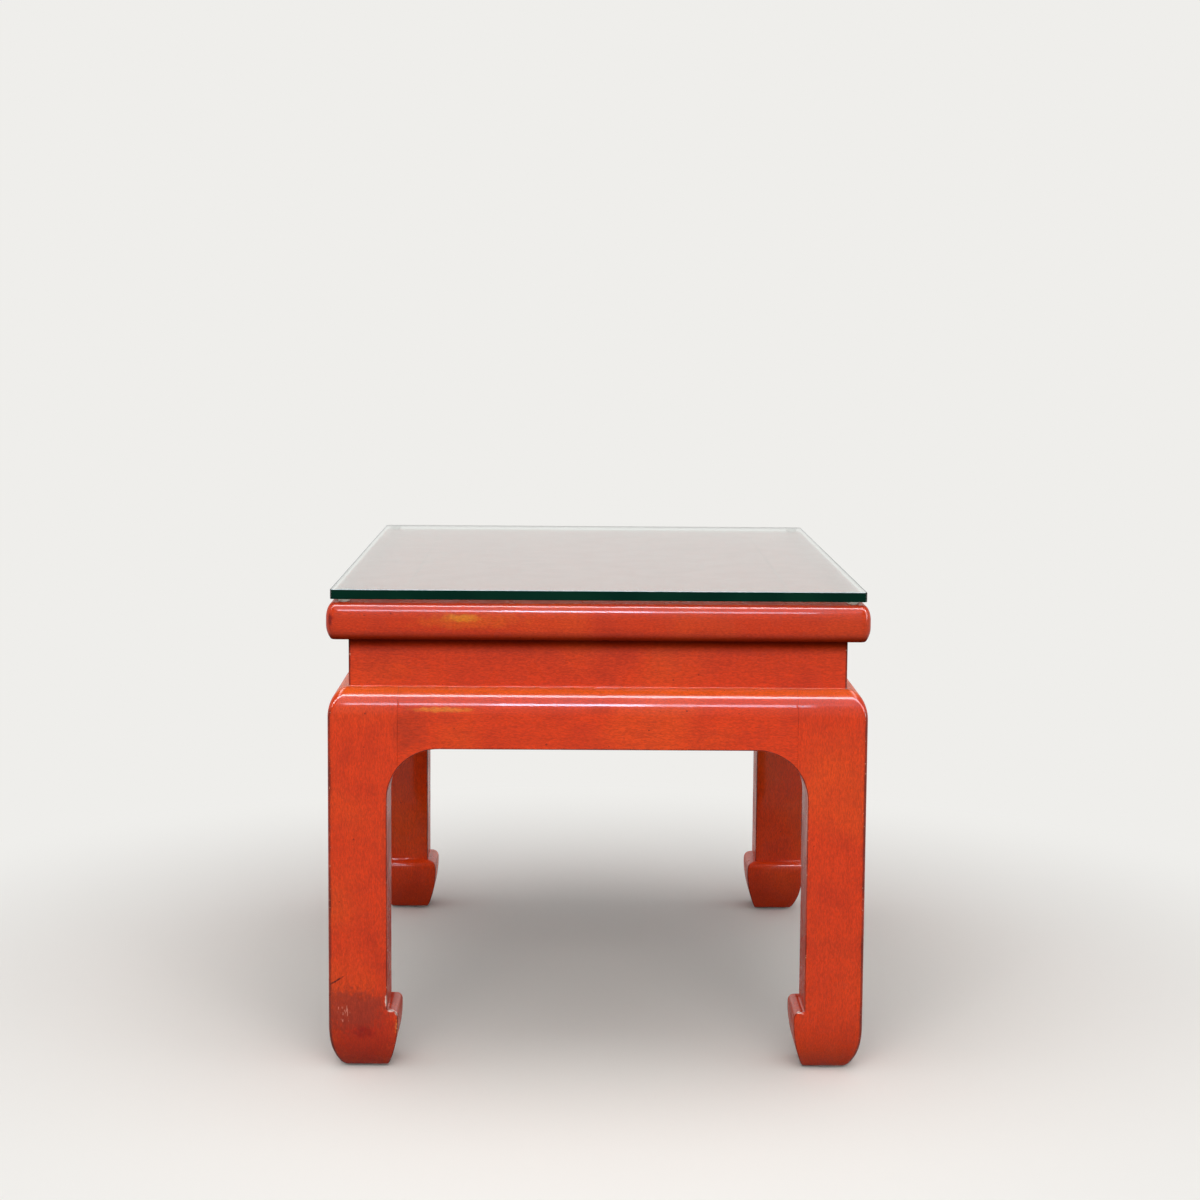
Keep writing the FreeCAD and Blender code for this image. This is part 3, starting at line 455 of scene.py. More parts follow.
# two tones mixed by one fine pattern, size in mm, which roughens the surface as well
mottledLooks = {
    # polished edge of the sheet: light that comes out here has crossed all of it, so it is bottle green
    "floatGlassEdge": {"size": 60, "detail": 2, "tones": ("#01251c", "#042c20"), "mix": (0.35, 0.65),
                       "rough": (0.05, 0.1), "more": {"IOR": 1.1}, "tint": "#c4e2d6"},
    # arris taken off the sheet with a fine stone: grey-blue and satin, a thin pale line round the glass
    "groundGlassArris": {"size": 4, "detail": 3, "tones": ("#b9d2dc", "#dbe9f2"), "mix": (0.35, 0.65),
                         "rough": (0.3, 0.45), "more": {"IOR": 1.52}},
    # soft polyurethane bumper: pale and faintly green, a painted stand-in for the light that the clear
    # plastic gathers and throws back
    "clearPolyurethane": {"size": 2.5, "detail": 3, "tones": ("#f3fdf7", "#e2f5ea"), "mix": (0.4, 0.7),
                          "rough": (0.03, 0.15), "more": {"IOR": 1.49, "Transmission Weight": 0.1}},
    # moulded white nylon: even, waxy, scuffed underneath
    "mouldedNylon": {"size": 1.2, "detail": 4, "tones": ("#f1f0ea", "#c9c5ba"),
                     "mix": (0.45, 0.7, 0, 0.6), "rough": (0.35, 0.55), "more": {}},
    # bright zinc plate on steel: bluish grey metal with fine mottling
    "zincPlatedSteel": {"size": 1.5, "detail": 3, "tones": ("#c6c9cc", "#a7a9ab"), "mix": (0.35, 0.7),
                        "rough": (0.22, 0.42), "more": {"Metallic": 1.0}},
}
roughFrom, roughTo = 0.3, 0.7


def makeMottled(name):
    look = mottledLooks[name]
    material, tree, place = newMaterial(name)
    inputs = {"Vector": place, "Scale": perMetre(look["size"]), "Detail": look["detail"]}
    pattern = addNode(tree, "ShaderNodeTexNoise", inputs)
    share = addNode(tree, "ShaderNodeMapRange", [pattern, *look["mix"]], **smooth)
    colour = addNode(tree, "ShaderNodeMix", [share, *look["tones"]], **colours)
    rough = addNode(tree, "ShaderNodeMapRange", [pattern, roughFrom, roughTo, *look["rough"]], **smooth)
    inputs = {"Base Color": colour, "Roughness": rough, **look["more"]}
    shader = addNode(tree, "ShaderNodeBsdfPrincipled", inputs)
    if "tint" in look:
        shader = passLight(tree, shader, look["tint"])
    addNode(tree, "ShaderNodeOutputMaterial", {"Surface": shader})
    return material


lacquers = [makeLacquer("lacquerAlongX", 0, slabWearAndLight), makeLacquer("lacquerAlongY", 1, []),
            makeLacquer("lacquerAlongZ", 2, legWearAndGlints)]
woods = [makeSawnWood("sawnElmAlong" + axis, grain) for grain, axis in enumerate("XYZ")]
finishes = list(zip(lacquers, woods))  # outside and inside, by grain
floatGlass = makeFloatGlass()
glassEdge, glassArris, clearPlastic, nylon, zincSteel = [makeMottled(name) for name in mottledLooks]
print("materials made")


# legs: the same outline from the front and from the side, all edges rounded

legShape = {
    "shaft": 60 * mm, "hoofRise": 51 * mm, "hoofTaper": 13.5 * mm, "toeRise": 50.5 * mm,
    "toeTaper": 10.5 * mm, "toeSquare": 2.7, "archRadius": 52 * mm, "shoulderWide": 19.5 * mm,
    "shoulderTall": 28 * mm, "shoulderRound": 13 * mm, "outerRound": 5 * mm, "edgeRound": 1.6 * mm,
    "jointRound": 0.25 * mm, "seat": 12 * mm, "apronHeight": 61 * mm, "edgeShadeStart": 12 * mm,
    "soleLift": 0.5 * mm, "soleDrawIn": 0.03, "aboveToe": 2 * mm, "aboveArch": 2.56 * mm,
    "belowSeat": 0.2 * mm, "seatSlack": 1 * mm, "postSink": 1 * mm,
}
legSteps = {"hoof": 14, "toe": 14, "shaft": 5, "arch": 8, "shoulder": 16}
edgeSteps = 6
edgeFade = [sin(pi * i / edgeSteps) for i in range(edgeSteps + 1)]  # across a rounded edge
legBlank = outerFace - legInner
archLevel = ledgeLevel - legShape["apronHeight"]
springLevel = archLevel - legShape["archRadius"]
shoulderLow = ledgeLevel - legShape["shoulderTall"]
heelTop = footLevel + legShape["hoofRise"]
toeLevel = footLevel + legShape["toeRise"]
toeRadius = (legShape["toeTaper"] ** 2 + legShape["toeRise"] ** 2) / (2 * legShape["toeTaper"])


def heelAt(part, radius):
    # centre and normal, across and up, of a ball inside the heel, which draws in faster towards the floor
    taper, rise = legShape["hoofTaper"], legShape["hoofRise"]
    normal = Vector((-rise, -3 * taper * part ** 2)).normalized()
    return Vector((taper * part ** 3, heelTop - rise * part)) - radius * normal, normal


def shoulderAt(turn, radius):
    # centre and normal, across and up, of a ball inside the shoulder, which is a quarter of an ellipse
    wide, tall = legShape["shoulderWide"], legShape["shoulderTall"]
    spot = Vector((wide * (1 - cos(turn)), shoulderLow + tall * sin(turn)))
    normal = Vector((-tall * cos(turn), wide * sin(turn))).normalized()
    return spot - radius * normal, normal


def ballAt(curve, low, high, level, radius, halvings=40):
    # halve the way along a curve that rises from low to high, until the ball is at that level
    for halving in range(halvings):
        part = (low + high) / 2
        centre, normal = curve(part, radius)
        low, high = (part, high) if centre.y < level else (low, part)
    return centre.x, normal


def outerAt(level, radius):
    # centre and normal, across and up, of a ball of that radius rolling inside the outer face at a level
    if level < heelTop:
        return ballAt(heelAt, 1, 0, level, radius)
    if level > shoulderLow:
        return ballAt(shoulderAt, 0, pi / 2, level, radius)
    return radius, (-1, 0)


def roundEdge(centre, radius, fromNormal, toNormal):
    start, end = Vector(fromNormal), Vector(toNormal)
    return [centre + radius * start.slerp(end, part, start) for part in steps(0, 1, edgeSteps)]


def legRing(outerLevel, inner, innerNormal, edge, inBlock, big=legShape["outerRound"]):
    # one closed ring: outer edge, front inner edge, inner edge, side inner edge
    reach, (across, up) = outerAt(outerLevel, big)
    ring = roundEdge(Vector((reach, reach, outerLevel)), big, (across, 0, up), (0, across, up))
    inwards, rise = innerNormal
    ballX = inner[0] - edge * inwards
    ballZ = inner[1] - edge * rise
    ballY, (across, up) = outerAt(ballZ, edge)
    ring += roundEdge(Vector((ballX, ballY, ballZ)), edge, (0, across, up), (inwards, 0, rise))
    if inBlock:
        seat = legShape["seat"]
        ends = Vector((inner[0], inner[0] - seat, ballZ)), Vector((inner[0] - seat, inner[0], ballZ))
        ring += [ends[0].lerp(ends[1], part) for part in steps(0, 1, edgeSteps)]
    else:
        ring += roundEdge(Vector((ballX, ballX, ballZ)), edge, (inwards, 0, rise), (0, inwards, rise))
    ring += roundEdge(Vector((ballY, ballX, ballZ)), edge, (0, inwards, rise), (across, 0, up))
    return ring


def hoofRings():
    # from the floor up to the widest part of the toe
    shape = legShape
    edge, big = shape["edgeRound"], shape["outerRound"]
    toeAngle = asin(shape["toeRise"] / toeRadius)
    rings = []
    for part in steps(1, 0, legSteps["hoof"]):
        toe = toeAngle * part
        inner = (legBlank - toeRadius * (1 - cos(toe)), toeLevel - toeRadius * sin(toe))
        outerLevel = heelAt(part, big)[0].y
        rings.append(legRing(outerLevel, inner, (cos(toe), -sin(toe)), edge, False))
    sole = [Vector((p.x, p.y, max(p.z, footLevel + shape["soleLift"]))) for p in rings[0]]
    middle = sum(sole, Vector()) / len(sole)
    middle.z = footLevel
    flat = [Vector((p.x, p.y, footLevel)).lerp(middle, shape["soleDrawIn"]) for p in sole]
    return [flat, sole] + rings[1:]


def legRings():
    shape = legShape
    edge, big, shaft = shape["edgeRound"], shape["outerRound"], shape["shaft"]
    toeRound = legBlank - shaft
    rings = hoofRings()
    # round-cornered toe with a flat top, and a sharp angle where it meets the shaft
    square = shape["toeSquare"]
    toeTop = toeLevel + toeRound
    shaftLow = toeTop + shape["aboveToe"]
    levels = iter(steps(heelTop, shaftLow, legSteps["toe"] + 2)[1:])
    for angle in steps(0, pi / 2, legSteps["toe"])[1:]:
        across, rise = cos(angle) ** (2 / square), sin(angle) ** (2 / square)
        normal = Vector((across ** (square - 1), rise ** (square - 1))).normalized()
        inner = (shaft + toeRound * across, toeLevel + toeRound * rise)
        rings.append(legRing(next(levels), inner, normal, edge, False))
    rings.append(legRing(next(levels), (shaft, toeTop), (1, 0), edge, False))
    for level in steps(shaftLow, springLevel, legSteps["shaft"]):
        rings.append(legRing(level, (shaft, level), (1, 0), edge, False))
    # arch, up to the joint with the apron
    reach = shape["archRadius"]
    archEnd = acos((reach - toeRound) / reach)
    for angle in steps(0, archEnd, legSteps["arch"])[1:]:
        inner = (shaft + reach * (1 - cos(angle)), springLevel + reach * sin(angle))
        rings.append(legRing(inner[1], inner, (cos(angle), -sin(angle)), edge, False))
    # block, up to the ledge
    blockLow = springLevel + reach * sin(archEnd) + shape["aboveArch"]
    joint = shape["jointRound"]
    for level, inBlock in ((blockLow, False), (archLevel - shape["belowSeat"], False), (archLevel, True),
                           (shoulderLow, True)):
        rings.append(legRing(level, (legBlank, level), (1, 0), joint, inBlock))
    for turn in steps(0, pi / 2, legSteps["shoulder"])[1:]:
        soft = big + (shape["shoulderRound"] - big) * sin(turn)
        level, outerLevel = shoulderAt(turn, joint)[0].y, shoulderAt(turn, soft)[0].y
        rings.append(legRing(outerLevel, (legBlank, level), (1, 0), joint, True, soft))
    return rings


def legEdges(ring):
    under = ledgeLevel - ring[0].z - legShape["edgeShadeStart"]  # the painted edge shade fades out up the shoulder, which has no hard edge
    outer = min(1, max(0, under / legShape["edgeShadeStart"]))
    return [outer * fade for fade in edgeFade] + edgeFade * 3


def addPost(leg):
    # raw wood, inside the corner of the waist
    low = Vector((-waistInner, -waistInner, ledgeLevel - legShape["postSink"]))
    high = Vector((-legInner, -legInner, topUnder))
    post = bmesh.new()
    post.from_mesh(leg.data)
    made = bmesh.ops.create_cube(post, size=1)["verts"]
    for vert in made:
        vert.co = Vector([low[i] if vert.co[i] < 0 else high[i] for i in range(3)])
    for face in {face for vert in made for face in vert.link_faces}:
        face.material_index = 1
    post.to_mesh(leg.data)
    post.free()


def makeLeg(node, quarter):
    shift = Vector((-outerFace, -outerFace, 0))
    rings = [[point + shift for point in ring] for ring in legRings()]
    edges = [[0] * len(rings[0])] + [legEdges(ring) for ring in rings[1:]]
    seatLine = 2 * -legInner - legShape["seat"] - legShape["seatSlack"]
    leg = skin(camelName(node), rings, finishes[2],
               finishAt=lambda spot: spot.z > archLevel and spot.x + spot.y > seatLine, edges=edges)
    addPost(leg)
    setLacquered(leg, quarter, node)


for quarter, corner in enumerate(cornerNames):
    makeLeg("leg_" + corner, quarter)
print("legs made")


# aprons: rounded shoulder, arched ends

apronShape = {"innerRound": 1.2 * mm, "jointGroove": 0.2 * mm, "archSteps": 14, "flatSteps": 6,
              "innerSteps": 3}


def apronRing(x, low, slope, inset):
    def curve(across, level, wide, tall, angles):
        return [Vector((x, across + wide * (1 - cos(angle)), level + tall * (1 - sin(angle))))
                for angle in angles]

    wide, tall = legShape["shoulderWide"] - inset, legShape["shoulderTall"] - inset
    edge, back = legShape["edgeRound"], apronShape["innerRound"]
    face = -outerFace + inset
    top = ledgeLevel - inset
    low = low + inset
    ring = [Vector((x, -apronInner, top))]
    ring += curve(face, top, wide, -tall, steps(pi / 2, 0, legSteps["shoulder"]))
    ring += curve(face, low, edge, edge / slope, steps(0, pi / 2, edgeSteps))
    return ring + curve(-apronInner, low, -back, back, steps(pi / 2, 0, apronShape["innerSteps"]))


def makeApron(node, quarter):
    shape = apronShape
    reach = legShape["archRadius"]
    flatHalf = outerFace - legShape["shaft"] - reach + extraOf(node)
    archEnd = acos((legInner + extraOf(node) - flatHalf) / reach)
    groove = shape["jointGroove"]
    # stations along the apron: place, height of the lower edge, its slope, and the inset at the joint
    half = []
    for angle in steps(archEnd, pi / 2, shape["archSteps"]):
        slope = sin(angle)
        half.append((flatHalf + reach * cos(angle), springLevel + reach * slope, slope))
    first = half[0]
    arch = [(*first, groove), (first[0] - groove, *first[1:], 0)] + [(*spot, 0) for spot in half[1:]]
    stations = [(-x, low, slope, inset) for x, low, slope, inset in arch]
    stations += [(x, archLevel, 1, 0) for x in steps(-flatHalf, flatHalf, shape["flatSteps"])[1:-1]]
    stations += reversed(arch)
    rings = [apronRing(*station) for station in stations]
    plain = [0] * (legSteps["shoulder"] + 2) + edgeFade + [0] * (shape["innerSteps"] + 1)
    atJoint = [1] * len(rings[0])
    edges = [atJoint] + [plain] * (len(rings) - 2) + [atJoint]
    apron = skin(camelName(node), rings, finishes[quarter % 2],
                 finishAt=lambda spot: spot.y > -apronInner - touch, edges=edges)
    setLacquered(apron, quarter, node)


for quarter, side in enumerate(sideNames):
    makeApron("apron_" + side, quarter)
print("aprons made")


# waist boards and top frame: one section all round, mitred at the corners

waistShape = {"corner": 1.6 * mm, "cove": 0.9 * mm, "coveSteps": 5, "glaze": 1}
topShape = {"corner": 11 * mm, "upperWide": 8 * mm, "upperTall": 16 * mm, "ease": 24 * mm, "easeTurn": 35,
            "lowerRound": 2.5 * mm, "upperSteps": 14, "easeSteps": 8, "lowerSteps": 4, "glaze": 0.4}
edgeWide = 1.5 * mm  # painted shade beside a corner


def mitredRings(half, corner, section, extra):
    # section points are (inwards, level), from the inner upper edge over the outside to the inner lower edge
    def at(part, turn):
        ring = []
        for inwards, level in section:
            straight = half - max(inwards, corner)
            bend = max(0, corner - inwards)
            x = part * (straight + extra) + copysign(bend * sin(turn), part)
            ring.append(Vector((x, -straight - bend * cos(turn), level)))
        return ring

    turns = steps(pi / 4, 0, edgeSteps)
    beside = 1 - edgeWide / half
    rings = [at(-1, turn) for turn in turns]
    rings += [at(part, 0) for part in steps(-beside, beside, edgeSteps)]
    return rings + [at(1, turn) for turn in reversed(turns)]


def mitredEdges(section, strength):
    count = edgeSteps + 1
    tones = [strength] * count + [0] * count + [strength] * count
    return [[tone] * len(section) for tone in tones]


def roundTo(centreIn, centreLevel, wide, tall, fromAngle, toAngle, count):
    return [(centreIn - wide * cos(angle), centreLevel + tall * sin(angle))
            for angle in steps(fromAngle, toAngle, count)]


def makeMitred(node, quarter, half, shape, section, finishAt):
    rings = mitredRings(half, shape["corner"], section, extraOf(node))
    edges = mitredEdges(section, shape["glaze"])
    piece = skin(camelName(node), rings, finishes[quarter % 2], finishAt, edges)
    setLacquered(piece, quarter, node)
    return piece


def makeWaist(node, quarter):
    thick = waistOuter - waistInner
    cove = waistShape["cove"]
    section = [(thick, topUnder), (0, topUnder)]
    # lacquer gathers in the angle with the ledge and leaves a small cove that shines
    section += [(-cove + cove * cos(angle), ledgeLevel + cove - cove * sin(angle))
                for angle in steps(0, pi / 2, waistShape["coveSteps"])]
    section += [(thick, ledgeLevel)]
    makeMitred(node, quarter, waistOuter, waistShape, section, lambda spot: spot.y > -waistInner - touch)


def topFinish(spot):
    # raw wood inside and underneath
    return spot.y > -topInner - touch or (spot.z < topUnder + touch and spot.y > -waistOuter)


def makeTopMember(node, quarter):
    shape = topShape
    wide, tall, ease, low = shape["upperWide"], shape["upperTall"], shape["ease"], shape["lowerRound"]
    easeTurn = radians(shape["easeTurn"])
    inner = topOuter - topInner
    easeLevel = topUnder + low + (ease - low) * sin(easeTurn)
    lowIn = ease - (ease - low) * cos(easeTurn)
    section = [(inner, topFace)]
    section += roundTo(wide, topFace - tall, wide, tall, pi / 2, 0, shape["upperSteps"])
    section += roundTo(ease, easeLevel, ease, ease, 0, -easeTurn, shape["easeSteps"])
    section += roundTo(lowIn, topUnder + low, low, low, -easeTurn, -pi / 2, shape["lowerSteps"])[1:]
    flat = (shape["corner"], topOuter - waistOuter, topOuter - waistInner, inner)
    section += [(inwards, topUnder) for inwards in flat]
    return makeMitred(node, quarter, topOuter, shape, section, topFinish)


topMembers = []
for quarter, side in enumerate(sideNames):
    makeWaist("waist_" + side, quarter)
    topMembers.append(makeTopMember("top_frame_" + side, quarter))
print("waist and top frame made")


# flat pieces: panel and glass

plateCorners = ((-1, -1), (1, -1), (1, 1), (-1, 1))
arrisSteps = 3


def plateLoop(half, inset, corner, level):
    loop = []
    reach = half[0] - inset - corner, half[1] - inset - corner
    for quarter, (x, y) in enumerate(plateCorners):
        for angle in steps(pi, pi * 1.5, edgeSteps):
            turn = angle + quarter * pi / 2
            across, along = x * reach[0] + corner * cos(turn), y * reach[1] + corner * sin(turn)
            loop.append(Vector((across, along, level)))
    return loop


def plateRings(half, shape, low, high):
    arris = shape["arris"]
    rings = []
    for level, rise, start, end in ((low, arris, pi / 2, 0), (high, -arris, 0, pi / 2)):
        for angle in steps(start, end, arrisSteps):
            inset = arris * (1 - cos(angle))
            rings.append(plateLoop(half, inset, shape["corner"], level + rise * (1 - sin(angle))))
    return rings


panelShape = {"corner": 0.8 * mm, "arris": 0.7 * mm, "gap": 0.5 * mm, "lacquered": 8 * mm}
panelHalf = topInner - panelShape["gap"], topInner + deepen - panelShape["gap"]
panel = skin("topPanel", plateRings(panelHalf, panelShape, panelLow.z, panelHigh.z), finishes[0],
             finishAt=lambda spot: spot.z < panelHigh.z - panelShape["lacquered"])
evenNormals(panel)
setPiece(panel, "table", "lacquer", "top_panel")

glassShape = {"corner": 3 * mm, "arris": 0.5 * mm}
glassLow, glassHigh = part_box("glass_top")


def glassFinish(spot):
    # clear faces, green edge, and the ground arris round the upper face
    arris = glassShape["arris"]
    if abs(spot.x) < glassHigh.x - arris and abs(spot.y) < glassHigh.y - arris:
        return 0
    return 1 if spot.z < glassHigh.z - arris else 2


glass = skin("glassSheet", plateRings(glassHigh, glassShape, glassLow.z, glassHigh.z),
             [floatGlass, glassEdge, glassArris], finishAt=glassFinish)
evenNormals(glass)
setPiece(glass, "glass", "glass", "glass_top")
print("panel and glass made")


# turned pieces that repeat: bumpers, glides and screws

turnedSides = 32
turnedSharp = 40  # degrees
mergeGap = 0.001 * mm


def cutCross(tree, body, given, cross):
    # cross recess in a screw head, which then goes down to its seat
    radius, height = given.outputs["Radius"], given.outputs["Height"]
    wing = addNode(tree, "ShaderNodeMath", [radius, cross["wing"]], operation="MULTIPLY")
    slit = addNode(tree, "ShaderNodeMath", [radius, cross["slit"]], operation="MULTIPLY")
    deep = addNode(tree, "ShaderNodeMath", [height, cross["deep"]], operation="MULTIPLY")
    for first, second in ((wing, slit), (slit, wing)):
        size = addNode(tree, "ShaderNodeCombineXYZ", [first, second, deep])
        bar = addNode(tree, "GeometryNodeMeshCube", {"Size": size})
        inputs = {"Mesh 1": body, "Mesh 2": bar}
        body = addNode(tree, "GeometryNodeMeshBoolean", inputs, operation="DIFFERENCE")
    lower = addNode(tree, "ShaderNodeMath", [height, -1.0], operation="MULTIPLY")
    down = addNode(tree, "ShaderNodeCombineXYZ", {"Z": lower})
    return addNode(tree, "GeometryNodeTransform", {"Geometry": body, "Translation": down})


def turnedTree(name, outline, cross=None):
    # a disc raised step by step along an outline, set at each point of the mesh
    # the outline has parts of the head's height, of the shank's length and of the radius
    tree = bpy.data.node_groups.new(name, "GeometryNodeTree")
    for socket, kind in (("Points", "Geometry"), ("Radius", "Float"), ("Height", "Float"),
                         ("Length", "Float"), ("Finish", "Material")):
        tree.interface.new_socket(socket, in_out="INPUT", socket_type="NodeSocket" + kind)
    tree.interface.new_socket("Pieces", in_out="OUTPUT", socket_type="NodeSocketGeometry")
    given = addNode(tree, "NodeGroupInput")
    radius, height, length = [given.outputs[size] for size in ("Radius", "Height", "Length")]
    heightBefore, lengthBefore, across = outline[0]
    discSize = addNode(tree, "ShaderNodeMath", [radius, across], operation="MULTIPLY")
    inputs = {"Vertices": turnedSides, "Radius": discSize}
    disc = addNode(tree, "GeometryNodeMeshCircle", inputs, fill_type="NGON")
    shape, top = disc, None
    for heightPart, lengthPart, radiusPart in outline[1:]:
        rise = addNode(tree, "ShaderNodeMath", [height, heightPart - heightBefore], operation="MULTIPLY")
        inputs = [length, lengthPart - lengthBefore, rise]
        rise = addNode(tree, "ShaderNodeMath", inputs, operation="MULTIPLY_ADD")
        inputs = {"Mesh": shape, "Offset": (0, 0, 1), "Offset Scale": rise, "Individual": False}
        if top:
            inputs["Selection"] = top
        raised = addNode(tree, "GeometryNodeExtrudeMesh", inputs)
        top = raised.outputs["Top"]
        inputs = {"Geometry": raised, "Selection": top, "Scale": radiusPart / across}
        shape, across = addNode(tree, "GeometryNodeScaleElements", inputs), radiusPart
        heightBefore, lengthBefore = heightPart, lengthPart
    under = addNode(tree, "GeometryNodeFlipFaces", {"Mesh": disc})
    whole = addNode(tree, "GeometryNodeJoinGeometry", [shape])
    tree.links.new(under.outputs["Mesh"], whole.inputs[0])
    body = addNode(tree, "GeometryNodeMergeByDistance", {"Geometry": whole, "Distance": mergeGap})
    if cross:
        body = cutCross(tree, body, given, cross)
    inputs = {"Name": "pointing"}
    pointing = addNode(tree, "GeometryNodeInputNamedAttribute", inputs, data_type="FLOAT_VECTOR")
    turn = addNode(tree, "FunctionNodeAlignRotationToVector", {"Vector": pointing}, axis="Z")
    inputs = {"Points": given.outputs["Points"], "Instance": body, "Rotation": turn}
    placed = addNode(tree, "GeometryNodeInstanceOnPoints", inputs)
    real = addNode(tree, "GeometryNodeRealizeInstances", {"Geometry": placed})
    inputs = {"Geometry": real, "Material": given.outputs["Finish"]}
    addNode(tree, "NodeGroupOutput", [addNode(tree, "GeometryNodeSetMaterial", inputs)])
    return tree


def repeatTurned(name, tree, places, sizes, material):
    mesh = bpy.data.meshes.new(name + "Points")
    mesh.from_pydata([place for place, pointing in places], [], [])
    arrows = mesh.attributes.new("pointing", "FLOAT_VECTOR", "POINT")
    for item, (place, pointing) in zip(arrows.data, places):
        item.vector = pointing
    piece = addObject(name, mesh)
    maker = piece.modifiers.new("turned", "NODES")
    maker.node_group = tree
    values = {**sizes, "Finish": material}
    for item in tree.interface.items_tree:
        if item.in_out == "INPUT" and item.name in values:
            maker[item.identifier] = values[item.name]
    evaluated = piece.evaluated_get(bpy.context.evaluated_depsgraph_get())
    plain = bpy.data.meshes.new_from_object(evaluated)
    piece.modifiers.clear()
    piece.data = plain
    for face in plain.polygons:
        face.use_smooth = True
    plain.set_sharp_from_angle(angle=radians(turnedSharp))
    return piece


def quarterTurns(names, place, pointing):
    places = []
    for quarter, name in enumerate(names):
        turn = Matrix.Rotation(quarter * pi / 2, 3, "Z")
        places.append((turn @ Vector(place) + Vector((0, slideOf(name), 0)), turn @ Vector(pointing)))
    return places


up = (0, 0, 1)


def makeDiscs(name, node, outline, gap, material, slot):
    # one standing disc at each corner, as big as the node there
    low, high = squareBox(node + "_front_left")
    middle = (low + high) / 2
    sizes = {"Radius": middle.x - low.x, "Height": high.z - low.z - gap, "Length": 0.0}
    discs = repeatTurned(name, turnedTree(name + "Tree", outline),
                         quarterTurns(cornerNames, (middle.x, middle.y, low.z), up), sizes, material)
    setPiece(discs, "table", slot, *[node + "_" + corner for corner in cornerNames])
    return discs


bumperShape = [(0, 0, 0.68), (0.08, 0, 0.75), (0.35, 0, 0.85), (0.7, 0, 0.95), (0.9, 0, 1), (1, 0, 1)]
bumperGap = 0.06 * mm  # keeps the two clear faces apart, or one hides the other
bumpers = makeDiscs("glassBumpers", "glass_pad", bumperShape, bumperGap, clearPlastic, "clear_rubber")
glideShape = [(0, 0, 0.92), (0.08, 0, 0.965), (0.3, 0, 1), (1, 0, 1)]
makeDiscs("footGlides", "glide", glideShape, 0, nylon, "nylon")

screwShape = [(0, 0, 0.45), (0.06, 0, 0.68), (0.22, 0, 0.87), (0.5, 0, 1), (1, 0, 1), (1, 0, 0.5),
              (1, 0.9, 0.5), (1, 1, 0.08)]
screwCross = {"wing": 1.0, "slit": 0.2, "deep": 1.1}
screwTree = turnedTree("screwTree", screwShape, screwCross)
cornerScrew = {"Radius": 6 * mm, "Height": 4 * mm, "Length": 56 * mm}
topScrew = {"Radius": 4 * mm, "Height": 2.6 * mm, "Length": 36 * mm}
waistScrew = {"Radius": 4 * mm, "Height": 2.6 * mm, "Length": 30 * mm}
topScrewSpacing, waistScrewSpacing = 220 * mm, 120 * mm

blockLow, blockHigh = squareBox("corner_block_front_left")
cleatLow, cleatHigh = squareBox("cleat_front")
cleatMiddle = (cleatLow + cleatHigh) / 2
blockPlaces = quarterTurns(cornerNames, (blockLow + blockHigh) / 2, (-1, -1, 0))
topPlaces, waistPlaces = [], []
for sign in (-1, 1):
    place = (sign * topScrewSpacing / 2, cleatMiddle.y, cleatLow.z)
    topPlaces += quarterTurns(sideNames, place, up)
    place = (sign * waistScrewSpacing / 2, cleatHigh.y, cleatMiddle.z)
    waistPlaces += quarterTurns(sideNames, place, (0, -1, 0))
screwSets = {"corner_block_screws": (blockPlaces, cornerScrew), "top_screws": (topPlaces, topScrew),
             "waist_screws": (waistPlaces, waistScrew)}
for node, (places, sizes) in screwSets.items():
    screws = repeatTurned(camelName(node), screwTree, places, sizes, zincSteel)
    setPiece(screws, "table", "steel", node)
print("turned pieces made")


# the frame's own solids that stay: inner wood and nails

nodeFinish = {"glide_nails": zincSteel, "mitre_splines": woods[0], "panel_batten_left": woods[1],
              "panel_batten_right": woods[1]}
for corner in cornerNames:
    nodeFinish["corner_block_" + corner] = woods[2]
for quarter, side in enumerate(sideNames):
    nodeFinish["cleat_" + side] = woods[quarter % 2]
for node, material in nodeFinish.items():
    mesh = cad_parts[node].data
    mesh.materials.clear()
    mesh.materials.append(material)


# stage, light and camera

stageLook = {"floor": "#efedea", "background": "#efeeeb", "fade": (0.32, 1.1),
             "bounce": (0.16, 0.16, 0.16, 1), "reach": 9.0}
# from and to in the height of a direction, and the brightness there
skyLook = {"sky": (-0.1, 0.8, 0.15, 0.6), "ceiling": (0.2, 0.6, 1.0, 0.2)}
# lamps: place, size, power, colour
lampLook = {
    "softbox": ((0, -1.887, 0.893), (1.8, 1.0), 23.5, "#fffaf5"),
    "fill": ((0, -2.30, 1.47), (1.6, 1.4), 20, "#fffaf5"),
    "overhead": ((0, -0.3625, 2.35), (1.8, 1.8), 12, "#fffaf5"),
    # these only shine back from gloss: narrow lights high and low, the sheen between them, a tall window
    "strip": ((0, -1.257, 2.440), (8.0, 0.40), 350, "#eef5ff"),
    "sideStrip": ((0, -1.257, 2.440), (2.4, 0.40), 40, "#eef5ff"),
    "panel": ((-0.03, -2.981, 1.894), (0.36, 0.38), 15, "#cfe2ff"),
    "panelWide": ((-0.02, -2.991, 1.900), (1.1, 0.38), 31, "#d8e6ff"),
    "sheen": ((0, -2.116, 2.350), (2.6, 1.6), 38, "#e6efff"),
    "window": ((2.84, -1.067, 1.29), (0.4, 1.7), 50, "#f2f6ff"),
}
lampAim = (0, -0.3625, 0.43)
otherQuarters = (1, 2, 3)


